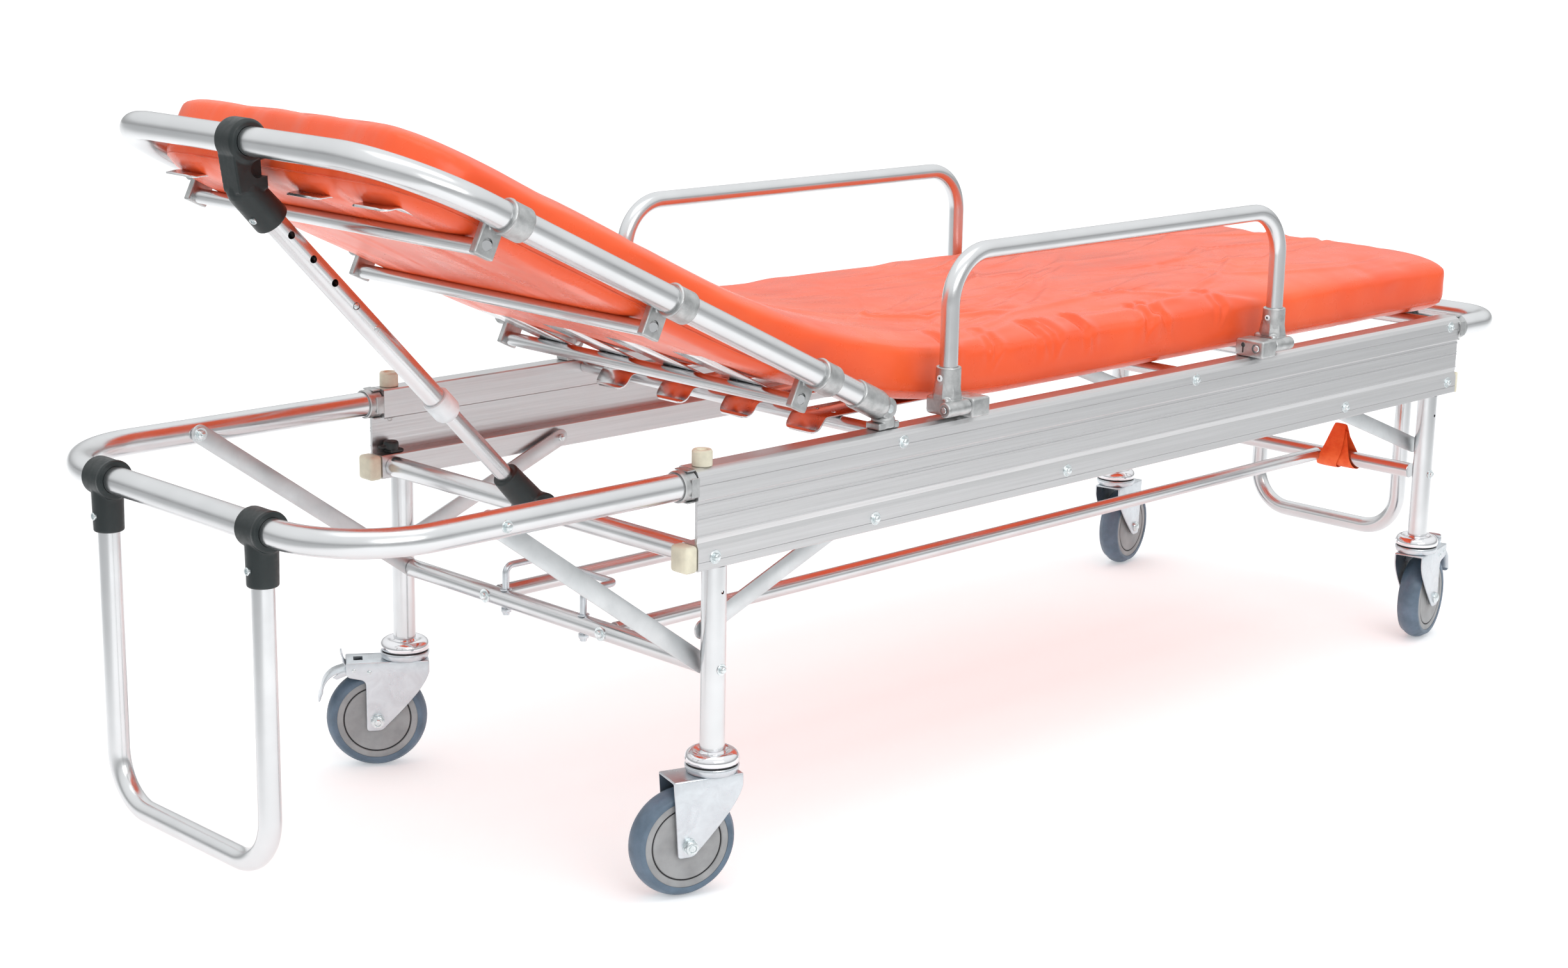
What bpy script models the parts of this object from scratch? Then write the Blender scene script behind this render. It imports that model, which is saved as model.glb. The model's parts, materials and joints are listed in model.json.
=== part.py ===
"""Ambulance stretcher trolley: aluminium rail frame on four casters, tilting backrest with a
telescopic strut, two fold-down guard rails, a folding support leg at each end and a mattress.

Metres, +Z up.  +X runs from the head end to the foot end, and -Y is the patient's right.
The origin is the bottom centre of the bounding box.  One caster is turned outwards, so the
trolley's own middle plane lies a little to the right of it, at MID_Y.
"""
import math

import bmesh
import bpy
from mathutils import Matrix, Vector

# ------------------------------------------------------------------ driving dimensions
GAP = 0.0003              # clearance between neighbouring solids
WELD = 0.000002           # vertices closer than this are one
MID_Y = -0.020            # the trolley's middle plane

RAIL_HEAD_X = -0.600      # side rails, from the head end ...
RAIL_FOOT_X = 0.912       # ... to the foot end
RAIL_OUTER_Y = 0.2954     # half of the overall frame width
RAIL_BOTTOM_Z = 0.374
RAIL_TOP_Z = 0.486
RAIL_TOP_BOX = (0.032, 0.036)      # width inwards, height
RAIL_LOW_BOX = (0.026, 0.029)
RAIL_WEB_FACE = 0.002              # the web stands back from the boxes' outer faces
RAIL_WEB_INNER = 0.006
RAIL_LIP = 0.0008                  # and so does the top box, below the lip along its top
RAIL_LIP_HEIGHT = 0.013
RAIL_EDGE = 0.001
RIB_HEIGHTS = (0.416, 0.432, 0.446)
RIB_RISE = 0.0009
RIB_WIDTH = 0.0024

LOOP_R = 0.015
LOOP_Z = 0.468
LOOP_SIDE_Y = 0.280
HEAD_LOOP_X = -1.046      # axis of the head loop's end tube
FOOT_LOOP_X = 1.046
HEAD_LOOP_BEND = 0.110
FOOT_LOOP_BEND = 0.062

LEG_R = 0.014
LEG_Y = 0.281
LEG_HEAD_X = RAIL_HEAD_X + 0.037
LEG_FOOT_X = RAIL_HEAD_X + 1.463
LEG_BOTTOM_Z = 0.164

UPPER_CROSS_R = 0.0125
HEAD_CROSS = (RAIL_HEAD_X + 0.017, 0.388)      # x, z of the strut's foot
FOOT_CROSS = (RAIL_HEAD_X + 1.489, 0.391)
LOWER_CROSS_R = 0.011
LOWER_CROSS_Z = 0.2575
FLOOR_RAIL_R = 0.0095
FLOOR_RAIL_Y = 0.105

BRACE_WIDTH = 0.022
BRACE_THICK = 0.003
BRACE_Y = 0.2646          # outer face of the flat braces, just inside the legs and loops
LOOP_BRACE_TOP_X = RAIL_HEAD_X - 0.258
LOOP_BRACE_LEG_Z = LOWER_CROSS_Z
LEG_BRACE_LEG_Z = 0.296
LEG_BRACE_RUN = 0.238     # along the rail, from the leg to the brace's bolt

HOOP_R = 0.004            # the catch hoop on the head cross tube
HOOP_TOP_Z = 0.298
HOOP_REACH = 0.050
HOOP_Y = (0.079, -0.063)
HOOP_BEND = 0.010

HINGE = (RAIL_HEAD_X + 0.3033, 0.5105)         # backrest pin: x, z
BACK_TILT = math.radians(25.70)
BACK_LENGTH = 0.7407      # hinge pin to the axis of the end tube
BACK_R = 0.014
BACK_SIDE_Y = 0.275
BACK_BEND = 0.108
BACK_CLAMPS = (0.106, 0.351, 0.594)            # distances from the hinge pin
SLAT_Y = (-0.170, -0.057, 0.057, 0.170)
SLAT_WIDTH = 0.056
SLAT_THICK = 0.0025
SLAT_SEAT = 0.0005        # how deep the cross tubes are let into the slats
CROSS_R = 0.0095          # deck and backrest cross tubes
BACK_CROSS_DROP = 0.034   # cross tubes below the side tubes' plane
BACK_CROSS_REACH = RAIL_OUTER_Y - RAIL_TOP_BOX[0] - 0.0025
BACK_SLATS = (0.062, 0.690)                    # ends of the slats, from the hinge pin
CLAMP_HALF = 0.014        # cast clamps that hang the cross tubes from the side tubes
CLAMP_WALL = 0.004
LUG_HALF = 0.013
LUG_SHIFT = 0.008         # the lugs and cross tubes, from the clamps, towards the head
LUG_THICK = 0.009
LUG_LEVELS = (-0.044, -0.004)

EYE_R = 0.0115            # hinge: an eye on the rail between the two cheeks of a knuckle
EYE_HALF = 0.0065
CHEEK = 0.0055
KNUCKLE_R = 0.0125
KNUCKLE_LENGTH = 0.030
KNUCKLE_SLEEVE = (0.0145, 0.060)
KNUCKLE_WALL = 0.0025
BACK_TUBE_START = 0.026
HINGE_PIN_R = 0.004
HINGE_PIN_END = 0.002     # the pin's heads, outside the cheeks
HINGE_BASE_X = (-0.016, 0.018)                 # its plate, from the pin
HINGE_BASE_Y = (-0.0125, 0.0105)
HINGE_BASE_THICK = 0.008
HINGE_NECK = 0.0085

DECK_CROSS_Z = 0.4765
DECK_CROSS_X = (RAIL_HEAD_X + 0.318, RAIL_HEAD_X + 0.875, RAIL_HEAD_X + 1.480)
DECK_HEAD_X = RAIL_HEAD_X + 0.290
DECK_FOOT_X = RAIL_HEAD_X + 1.494
DECK_TAB = 0.018          # the slats' turned-down head ends
DECK_TAB_DROP = 0.017

STRUT_OFFSET = 0.0317     # strut axis to the axis of the backrest's end tube
STRUT_OUTER_R = 0.0125
STRUT_INNER_R = 0.010
STRUT_SLACK = 0.0066      # room in the elbow's ring for the opened pivot
FOOT_RING = (0.0205, 0.020)                    # radius and half length of the foot clamp's ring
FOOT_SOCKET_R = (0.0185, 0.0165)               # its socket, from the ring to the mouth
FOOT_SOCKET_START = 0.004                      # these run along the strut, from its foot
FOOT_SOCKET_TOP = 0.062
INNER_TUBE = (0.030, 0.380)
BUSH = (0.172, 0.186, 0.202)                   # low end, seat of the outer tube, high end
BUSH_R = 0.0160
OUTER_TOP = 0.5340
PIN_HOLES = 5
PIN_HOLE_TOP = 0.4755
PIN_HOLE_PITCH = 0.0380
PIN_HOLE_R = 0.0037
ELBOW_MOUTH = 0.497
ELBOW_AT = 0.543
ELBOW_R = 0.0185
ELBOW_MOUTH_R = 0.0195
ELBOW_NECK = (0.002, -0.018)                   # where the neck leaves the ring, from its axis
ELBOW_NECK_R = 0.0175
ELBOW_RING = (0.0250, 0.0185)                  # radius and half length

GUARD_R = 0.0110
GUARD_Y = 0.285
GUARD_TOP_Z = 0.678
GUARD_HEAD_X = RAIL_HEAD_X + 0.404
GUARD_FOOT_X = RAIL_HEAD_X + 1.0545
GUARD_BEND = 0.060
GUARD_PIN = (0.301, 0.500)                     # y, z of the fold pin
GUARD_PIN_R = 0.004
GUARD_BARREL_R = 0.009
GUARD_BARREL = (-0.024, 0.0163)                # along the rail, from the post
GUARD_LOW_Z = 0.5190
SOCKET_HALF = 0.016
SOCKET_INNER_Y = 0.2635
SOCKET_BODY_Z = (RAIL_TOP_Z + 0.0045, 0.5150)
SOCKET_SHOULDER = (0.505, 0.5280, 0.0160)      # from, to, and the radius that it starts with
SOCKET_COLLAR = (0.5250, 0.5470, 0.0150)       # from, to, radius
BRACKET_LENGTH = 0.0315   # along the rail, from the barrel's inner end
BRACKET_Y = (0.2640, 0.3100)
BRACKET_TOP_Z = 0.5100
GUARD_PIN_END = 0.014     # how far the pin runs into the bracket

SUPPORT_R = 0.012
SUPPORT_BOTTOM_Z = 0.108
SUPPORT_BEND = 0.058
HEAD_SUPPORT_Y = 0.145
FOOT_SUPPORT_Y = 0.130
TEE_RING_R = 0.0215
TEE_HALF = 0.0185
TEE_STEM_R = 0.0170
TEE_STEM = (-0.006, -0.058)                    # from the loop's axis
TEE_SEAT = -0.026                              # where the leg's tube stops

WHEEL_R = 0.0625
WHEEL_HALF = 0.016
TRAIL = 0.036
AXLE_R = 0.005
FORK_INNER = 0.0195
FORK_PLATE = 0.0022
FORK_TOP_Z = 0.1385
FORK_FRONT = 0.029        # the crown's front edge, ahead of the swivel axis
FORK_BACK = 0.054
FORK_BACK_BRAKED = 0.074
FORK_NOSE = ((-0.029, 0.122), (-0.020, 0.104))
FORK_FOOT_R = 0.0135      # round the axle
FORK_SHOULDER_Z = (0.114, 0.122)               # the braked fork's step under the pedal
CROWN_THICK = 0.003
SWIVEL_R = 0.031
SWIVEL_TOP_R = 0.018
SWIVEL_SHOULDER = (0.0295, 0.1570)
SWIVEL_RIM_Z = 0.1500
SWIVEL_FOOT_R = 0.027
NUT_R = 0.0085
NUT_HEIGHT = 0.0055
AXLE_END = 0.0085         # beyond the fork's cheeks
HUB_R = 0.0560            # the flat of the wheel's side ...
TREAD = ((0.0610, 0.010), (WHEEL_R, 0.003))    # ... and its crowned tread: radius, height
CASTERS = {                                    # leg x, side, yaw of the trail, has a brake
    "head_right": (LEG_HEAD_X, -1, 162.0, False),
    "head_left": (LEG_HEAD_X, 1, 146.0, True),
    "foot_right": (LEG_FOOT_X, -1, 12.0, True),
    "foot_left": (LEG_FOOT_X, 1, 12.0, False),
}
PEDAL_PIVOT = (0.062, 0.1290)                  # from the swivel axis, along the trail, and z
PEDAL_HALF = 0.0165
PEDAL_UPPER = ((0.056, 0.1325), (0.0765, 0.1320), (0.0765, 0.1500), (0.0795, 0.1500), (0.0800, 0.1290))
PEDAL_TREAD = ((0.096, 0.1110), (0.1100, 0.0880), (0.1065, 0.0860), (0.0925, 0.1085))
PEDAL_LOWER = ((0.076, 0.1245), (0.056, 0.1275))

MATTRESS_HALF = 0.255
MATTRESS_BOTTOM_Z = 0.4892
MATTRESS_TOP_Z = 0.564
MATTRESS_SPLIT_X = HINGE[0] + 0.012
BACK_PAD_HALF = 0.2512    # the back pad lies between the side tubes
BACK_PAD_START = 0.020
BACK_PAD_END = BACK_LENGTH - 0.036
BACK_PAD_CORNER = 0.085
BACK_PAD_LEVELS = (-0.0220, 0.0500)            # below and above the side tubes' plane
BACK_PAD_UNDERCUT = (0.036, 0.020)             # the lower end edge, cut clear of the strut's elbow
MATTRESS_FOOT_X = RAIL_HEAD_X + 1.568
MATTRESS_CHAMFER = 0.034
STRAP_Y = (-0.166, -0.130)                     # the spare strap on the foot cross tube
STRAP_THICK = 0.0035

ALUMINIUM = ("aluminium", (0.74, 0.75, 0.76), 0.32, 1.0)
CAST = ("cast_alloy", (0.62, 0.63, 0.64), 0.45, 1.0)
ZINC = ("zinc_plate", (0.70, 0.73, 0.75), 0.28, 1.0)
BLACK = ("black_nylon", (0.045, 0.050, 0.055), 0.50, 0.0)
WHITE = ("white_nylon", (0.85, 0.85, 0.82), 0.45, 0.0)
TYRE = ("grey_tyre", (0.16, 0.22, 0.29), 0.55, 0.0)
VINYL = ("orange_vinyl", (0.95, 0.18, 0.05), 0.42, 0.0)


# ------------------------------------------------------------------ scene and materials
def clear_scene():
    for item in list(bpy.data.objects):
        bpy.data.objects.remove(item, do_unlink=True)


def collection(name):
    group = bpy.data.collections.new(name)
    bpy.context.scene.collection.children.link(group)
    return group


def material(name, finish):
    """Each piece has its own material, made from one of the finishes above."""
    look = bpy.data.materials.new(name)
    look.use_nodes = True
    shader = look.node_tree.nodes["Principled BSDF"]
    shader.inputs["Base Color"].default_value = (*finish[1], 1.0)
    shader.inputs["Roughness"].default_value = finish[2]
    shader.inputs["Metallic"].default_value = finish[3]
    look.diffuse_color = (*finish[1], 1.0)
    return look


clear_scene()
PARTS = collection("stretcher_trolley")
CUTTERS = collection("cutters")
ROOT = bpy.data.objects.new("trolley_middle", None)
ROOT.location = (0.0, MID_Y, 0.0)
PARTS.objects.link(ROOT)


def joint_empty(name, location, parent=ROOT, turn=0.0):
    """An empty on a joint's axis, which carries the pieces that turn about it."""
    empty = bpy.data.objects.new(name, None)
    empty.location = location
    empty.rotation_euler = (0.0, 0.0, turn)
    empty.parent = parent
    PARTS.objects.link(empty)
    return empty


# ------------------------------------------------------------------ meshes from tools
def mesh_from(build):
    """Runs build(bm) on a new bmesh and returns its mesh, faces pointing out."""
    bm = bmesh.new()
    build(bm)
    bmesh.ops.recalc_face_normals(bm, faces=bm.faces)
    mesh = bpy.data.meshes.new("shape")
    bm.to_mesh(mesh)
    bm.free()
    return mesh


def box(low, high):
    low, high = Vector(low), Vector(high)

    def build(bm):
        place = Matrix.Translation((low + high) / 2) @ Matrix.Diagonal((*(high - low), 1.0))
        bmesh.ops.create_cube(bm, size=1.0, matrix=place)

    return mesh_from(build)


def rod(start, end, radius, sides=12, end_radius=None):
    """A round bar from start to end, or a cone where end_radius differs."""
    start, end = Vector(start), Vector(end)
    run = end - start

    def build(bm):
        turn = run.to_track_quat("Z", "Y").to_matrix().to_4x4()
        place = Matrix.Translation((start + end) / 2) @ turn
        bmesh.ops.create_cone(
            bm, cap_ends=True, segments=sides, radius1=radius,
            radius2=radius if end_radius is None else end_radius, depth=run.length, matrix=place,
        )

    return mesh_from(build)


def bore(start, end, radius, sides=12, slack=GAP):
    """A cutter that clears a round bar of the given radius all round, whatever its facets."""
    return rod(start, end, (radius + slack) / math.cos(math.pi / sides), sides)


def evaluated(data, modify=None):
    """The welded mesh that a curve, or a mesh with a modifier, comes to."""
    helper = bpy.data.objects.new("helper", data)
    CUTTERS.objects.link(helper)
    if modify:
        modify(helper)
    graph = bpy.context.evaluated_depsgraph_get()
    mesh = bpy.data.meshes.new_from_object(helper.evaluated_get(graph))
    bpy.data.objects.remove(helper, do_unlink=True)
    return welded(mesh)


def welded(mesh):
    """Closes the mesh's loose caps and turns its faces outwards."""
    bm = bmesh.new()
    bm.from_mesh(mesh)
    bmesh.ops.remove_doubles(bm, verts=bm.verts, dist=WELD)
    bmesh.ops.recalc_face_normals(bm, faces=bm.faces)
    bm.to_mesh(mesh)
    bm.free()
    return mesh


PLANES = {
    "XZ": lambda a, b, d: (a, d, b),
    "YZ": lambda a, b, d: (d, a, b),
    "XY": lambda a, b, d: (a, b, d),
}


def prism(outline, low, high, plane="XZ"):
    """A flat outline, as thick as from low to high along the axis across its plane."""
    curve = bpy.data.curves.new("outline", "CURVE")
    curve.dimensions = "2D"
    curve.fill_mode = "BOTH"
    curve.extrude = abs(high - low) / 2
    spline = curve.splines.new("POLY")
    spline.points.add(len(outline) - 1)
    for point, spot in zip(spline.points, outline):
        point.co = (*spot, 0.0, 1.0)
    spline.use_cyclic_u = True
    mesh = evaluated(curve)
    spot = PLANES[plane]
    turn = Matrix((spot(1, 0, 0), spot(0, 1, 0), spot(0, 0, 1))).transposed().to_4x4()
    mesh.transform(Matrix.Translation(spot(0, 0, (low + high) / 2)) @ turn)
    return welded(mesh)


def arc(centre, radius, start, end, steps):
    """Points on an arc, from the angle start to end in degrees."""
    turns = [math.radians(start + (end - start) * i / steps) for i in range(steps + 1)]
    return [(centre[0] + radius * math.cos(t), centre[1] + radius * math.sin(t)) for t in turns]


def rounded(points, radius, steps=6):
    """A path with each of its inner corners replaced by an arc of the given bend radius."""
    points = [Vector(p) for p in points]
    path = [points[0]]
    for before, corner, after in zip(points, points[1:], points[2:]):
        a, b = (before - corner).normalized(), (after - corner).normalized()
        half = a.angle(b) / 2
        centre = corner + (a + b).normalized() * (radius / math.sin(half))
        first = corner + a * (radius / math.tan(half))
        last = corner + b * (radius / math.tan(half))
        spread = (first - centre).angle(last - centre)
        axis = (first - centre).cross(last - centre).normalized()
        for i in range(steps + 1):
            path.append(centre + Matrix.Rotation(spread * i / steps, 3, axis) @ (first - centre))
    path.append(points[-1])
    return path


def tube_curve(name, path, radius, resolution=4):
    """A bent tube as a curve object with a round bevel and filled caps."""
    curve = bpy.data.curves.new(name, "CURVE")
    curve.dimensions = "3D"
    curve.bevel_depth = radius
    curve.bevel_resolution = resolution
    curve.render_resolution_u = 0
    curve.use_fill_caps = True
    spline = curve.splines.new("POLY")
    spline.points.add(len(path) - 1)
    for point, spot in zip(spline.points, path):
        point.co = (*spot, 1.0)
    return curve


def bent_bar(path, radius, resolution=4):
    """The same bent tube as a closed mesh, so that it can be cut or joined."""
    return evaluated(tube_curve("bar", path, radius, resolution))


def turned(profile, sides=24, ring=False):
    """A profile of (radius, height) points, top to bottom, turned about Z by a Screw.

    It starts and ends on the axis, or, for a ring, it closes on itself."""
    mesh = bpy.data.meshes.new("profile")
    last = len(profile) - 1
    edges = [(i, i + 1) for i in range(last)] + ([(last, 0)] if ring else [])
    mesh.from_pydata([(r, 0.0, z) for r, z in profile], edges, [])

    def turn_it(helper):
        screw = helper.modifiers.new("turn", "SCREW")
        screw.steps = screw.render_steps = sides
        screw.use_merge_vertices = True
        screw.merge_threshold = WELD

    return evaluated(mesh, turn_it)


def moved(mesh, matrix):
    copy = mesh.copy()
    copy.transform(matrix)
    return copy


def combine(base, joined=(), cut=()):
    """Unions the joined meshes with the base mesh, then cuts the others from it."""
    work = bpy.data.objects.new("work", base)
    CUTTERS.objects.link(work)
    tools = []
    for operation, meshes in (("UNION", joined), ("DIFFERENCE", cut)):
        for mesh in meshes:
            tool = bpy.data.objects.new("tool", mesh)
            tool.hide_render = True
            tool.display_type = "WIRE"
            CUTTERS.objects.link(tool)
            tools.append(tool)
            boolean = work.modifiers.new("cut", "BOOLEAN")
            boolean.operation = operation
            boolean.object = tool
    graph = bpy.context.evaluated_depsgraph_get()
    result = bpy.data.meshes.new_from_object(work.evaluated_get(graph))
    for helper in [work, *tools]:
        bpy.data.objects.remove(helper, do_unlink=True)
    return result


def add(name, data, finish, parent=ROOT):
    """Adds a finished piece. Its shape is drawn in the trolley's middle-plane frame."""
    piece = bpy.data.objects.new(name, data)
    data.materials.clear()
    data.materials.append(material(name, finish))
    if isinstance(data, bpy.types.Mesh):
        data.shade_smooth()
        data.set_sharp_from_angle(angle=math.radians(35))
    PARTS.objects.link(piece)
    piece.parent = parent
    if parent is not ROOT:
        bpy.context.view_layer.update()
        data.transform(parent.matrix_world.inverted() @ ROOT.matrix_world)
    return piece


SIDES = (("right", -1), ("left", 1))
ENDS = (("head", LEG_HEAD_X), ("foot", LEG_FOOT_X))


# ------------------------------------------------------------------ side rails and loops
def rail_outline(side):
    """The extrusion's section: a box along the top, a web with three ribs, a box below."""
    outer, top, low = RAIL_OUTER_Y, RAIL_TOP_Z, RAIL_BOTTOM_Z
    face, lip, web = outer - RAIL_WEB_FACE, outer - RAIL_LIP, outer - RAIL_WEB_INNER
    top_box_y, top_box_z = outer - RAIL_TOP_BOX[0], top - RAIL_TOP_BOX[1]
    low_box_y, low_box_z = outer - RAIL_LOW_BOX[0], low + RAIL_LOW_BOX[1]
    lip_z, step = top - RAIL_LIP_HEIGHT, RAIL_WEB_FACE
    points = [(outer, low), (outer, low_box_z), (face, low_box_z + step)]
    for z in RIB_HEIGHTS:
        points += [(face, z), (face + RIB_RISE, z + RIB_WIDTH / 2), (face, z + RIB_WIDTH)]
    points += [(face, top_box_z + 2 * step), (lip, top_box_z + 3 * step), (lip, lip_z - step)]
    points += [(outer, lip_z), (outer, top - RAIL_EDGE), (outer - RAIL_EDGE, top), (top_box_y, top)]
    points += [(top_box_y, top_box_z), (web, top_box_z), (web, low_box_z)]
    points += [(low_box_y, low_box_z), (low_box_y, low)]
    return [(side * y, z) for y, z in points]


def make_rails():
    for label, side in SIDES:
        mesh = prism(rail_outline(side), RAIL_HEAD_X, RAIL_FOOT_X, "YZ")
        add(f"side_rail_{label}", mesh, ALUMINIUM)


def make_loops():
    spots = (
        ("head_loop", HEAD_LOOP_X, RAIL_HEAD_X - GAP, HEAD_LOOP_BEND),
        ("foot_loop", FOOT_LOOP_X, RAIL_FOOT_X + GAP, FOOT_LOOP_BEND),
    )
    for name, end_x, rail_x, bend in spots:
        corners = [
            (rail_x, -LOOP_SIDE_Y, LOOP_Z), (end_x, -LOOP_SIDE_Y, LOOP_Z),
            (end_x, LOOP_SIDE_Y, LOOP_Z), (rail_x, LOOP_SIDE_Y, LOOP_Z),
        ]
        add(name, tube_curve(name, rounded(corners, bend, 6), LOOP_R), ALUMINIUM)


# ------------------------------------------------------------------ legs, cross tubes, braces
def straight_tube(name, start, end, radius):
    add(name, rod(start, end, radius), ALUMINIUM)


def make_legs_and_tubes():
    for end, x in ENDS:
        for label, side in SIDES:
            top = (x, side * LEG_Y, RAIL_BOTTOM_Z - GAP)
            straight_tube(f"leg_{end}_{label}", (x, side * LEG_Y, LEG_BOTTOM_Z), top, LEG_R)
        reach = BRACE_Y - BRACE_THICK - GAP
        low = (x, -reach, LOWER_CROSS_Z)
        straight_tube(f"lower_cross_tube_{end}", low, (x, reach, LOWER_CROSS_Z), LOWER_CROSS_R)
    inner = RAIL_OUTER_Y - RAIL_LOW_BOX[0] - GAP
    for end, (x, z) in (("head", HEAD_CROSS), ("foot", FOOT_CROSS)):
        straight_tube(f"upper_cross_tube_{end}", (x, -inner, z), (x, inner, z), UPPER_CROSS_R)
    start, stop = LEG_HEAD_X + LOWER_CROSS_R + GAP, LEG_FOOT_X - LOWER_CROSS_R - GAP
    for label, side in SIDES:
        y = side * FLOOR_RAIL_Y
        straight_tube(
            f"floor_rail_{label}", (start, y, LOWER_CROSS_Z), (stop, y, LOWER_CROSS_Z), FLOOR_RAIL_R,
        )


def flat_bar(a, b):
    """The outline of a flat bar with round ends about two bolts, in the XZ plane."""
    a, b = Vector(a), Vector(b)
    heading = math.degrees(math.atan2(b.y - a.y, b.x - a.x))
    half = BRACE_WIDTH / 2
    return arc(b, half, heading - 90, heading + 90, 5) + arc(a, half, heading + 90, heading + 270, 5)


def make_braces():
    rail_bolt_z = RAIL_BOTTOM_Z + RAIL_LOW_BOX[1] / 2
    bars = {
        "loop_brace": ((LOOP_BRACE_TOP_X, LOOP_Z), (LEG_HEAD_X, LOOP_BRACE_LEG_Z)),
        "leg_brace_head": ((LEG_HEAD_X, LEG_BRACE_LEG_Z), (LEG_HEAD_X + LEG_BRACE_RUN, rail_bolt_z)),
        "leg_brace_foot": ((LEG_FOOT_X, LEG_BRACE_LEG_Z), (LEG_FOOT_X - LEG_BRACE_RUN, rail_bolt_z)),
    }
    for name, (a, b) in bars.items():
        for label, side in SIDES:
            mesh = prism(flat_bar(a, b), side * BRACE_Y, side * (BRACE_Y - BRACE_THICK))
            add(f"{name}_{label}", mesh, ALUMINIUM)


def make_catch_hoop():
    """The bent rod on the head cross tube that a vehicle's floor lock takes hold of."""
    low, top = LOWER_CROSS_Z + LOWER_CROSS_R + GAP, HOOP_TOP_Z
    near, far = LEG_HEAD_X, LEG_HEAD_X + HOOP_REACH
    left, right = HOOP_Y
    corners = [
        (near, left, low), (near, left, top), (far, left, top),
        (far, right, top), (near, right, top), (near, right, low),
    ]
    add("catch_hoop", tube_curve("catch_hoop", rounded(corners, HOOP_BEND, 3), HOOP_R, 2), ZINC)


# ------------------------------------------------------------------ deck
def make_deck():
    reach = RAIL_OUTER_Y - RAIL_TOP_BOX[0] - GAP
    tubes = [rod((x, -reach, DECK_CROSS_Z), (x, reach, DECK_CROSS_Z), CROSS_R) for x in DECK_CROSS_X]
    low = DECK_CROSS_Z + CROSS_R - SLAT_SEAT
    high = low + SLAT_THICK
    tab_x = DECK_HEAD_X - DECK_TAB
    outline = [
        (tab_x, low - DECK_TAB_DROP), (DECK_HEAD_X, low), (DECK_FOOT_X, low),
        (DECK_FOOT_X, high), (DECK_HEAD_X, high), (tab_x, high - DECK_TAB_DROP),
    ]
    slats = [prism(outline, y - SLAT_WIDTH / 2, y + SLAT_WIDTH / 2) for y in SLAT_Y]
    add("deck_slat_frame", combine(tubes[0], slats + tubes[1:]), ALUMINIUM)


# ------------------------------------------------------------------ backrest
def back_point(along, up):
    """A point of the backrest: along its side tubes from the hinge pin, and above them."""
    direction = (-math.cos(BACK_TILT), math.sin(BACK_TILT))
    normal = (math.sin(BACK_TILT), math.cos(BACK_TILT))
    x = HINGE[0] + direction[0] * along + normal[0] * up
    return x, HINGE[1] + direction[1] * along + normal[1] * up


def back_spot(along, y, up):
    x, z = back_point(along, up)
    return x, y, z


def make_hinge_bases():
    x, z = HINGE
    web_half, pin_half = EYE_HALF - 2 * GAP, EYE_HALF + CHEEK + HINGE_PIN_END
    for label, side in SIDES:
        y = side * BACK_SIDE_Y
        block = box(
            (x + HINGE_BASE_X[0], y + HINGE_BASE_Y[0], RAIL_TOP_Z + GAP),
            (x + HINGE_BASE_X[1], y + HINGE_BASE_Y[1], RAIL_TOP_Z + HINGE_BASE_THICK),
        )
        web = box(
            (x - HINGE_NECK, y - web_half, RAIL_TOP_Z + HINGE_BASE_THICK / 2),
            (x + HINGE_NECK, y + web_half, z - EYE_R / 4),
        )
        eye = rod((x, y - EYE_HALF, z), (x, y + EYE_HALF, z), EYE_R, 16)
        pin = rod((x, y - pin_half, z), (x, y + pin_half, z), HINGE_PIN_R, 10)
        add(f"backrest_hinge_{label}", combine(block, [web, eye, pin]), CAST)


def make_back_frame(parent):
    """The bent side tube, with a forked knuckle on each end that straddles the hinge's eye."""
    start, end, half = BACK_TUBE_START, BACK_LENGTH, BACK_SIDE_Y
    corners = [
        back_spot(start, -half, 0), back_spot(end, -half, 0),
        back_spot(end, half, 0), back_spot(start, half, 0),
    ]
    frame = bent_bar(rounded(corners, BACK_BEND, 6), BACK_R)
    edges = ((0, -KNUCKLE_R), (0, KNUCKLE_R), (KNUCKLE_LENGTH, KNUCKLE_R), (KNUCKLE_LENGTH, -KNUCKLE_R))
    cheek = [back_point(*edge) for edge in edges]
    extra, holes = [], []
    x, z = HINGE
    for _, side in SIDES:
        y = side * BACK_SIDE_Y
        low, high = (back_spot(along, y, 0) for along in KNUCKLE_SLEEVE)
        extra.append(rod(low, high, BACK_R + KNUCKLE_WALL, 14))
        for way in (-1, 1):
            inner, outer = y + way * (EYE_HALF + GAP), y + way * (EYE_HALF + CHEEK)
            extra += [rod((x, inner, z), (x, outer, z), KNUCKLE_R, 14), prism(cheek, inner, outer)]
        clear = EYE_HALF + 2 * CHEEK
        holes.append(bore((x, y - clear, z), (x, y + clear, z), HINGE_PIN_R, 10))
    add("backrest_frame", combine(frame, extra, holes), ALUMINIUM, parent)


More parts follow.
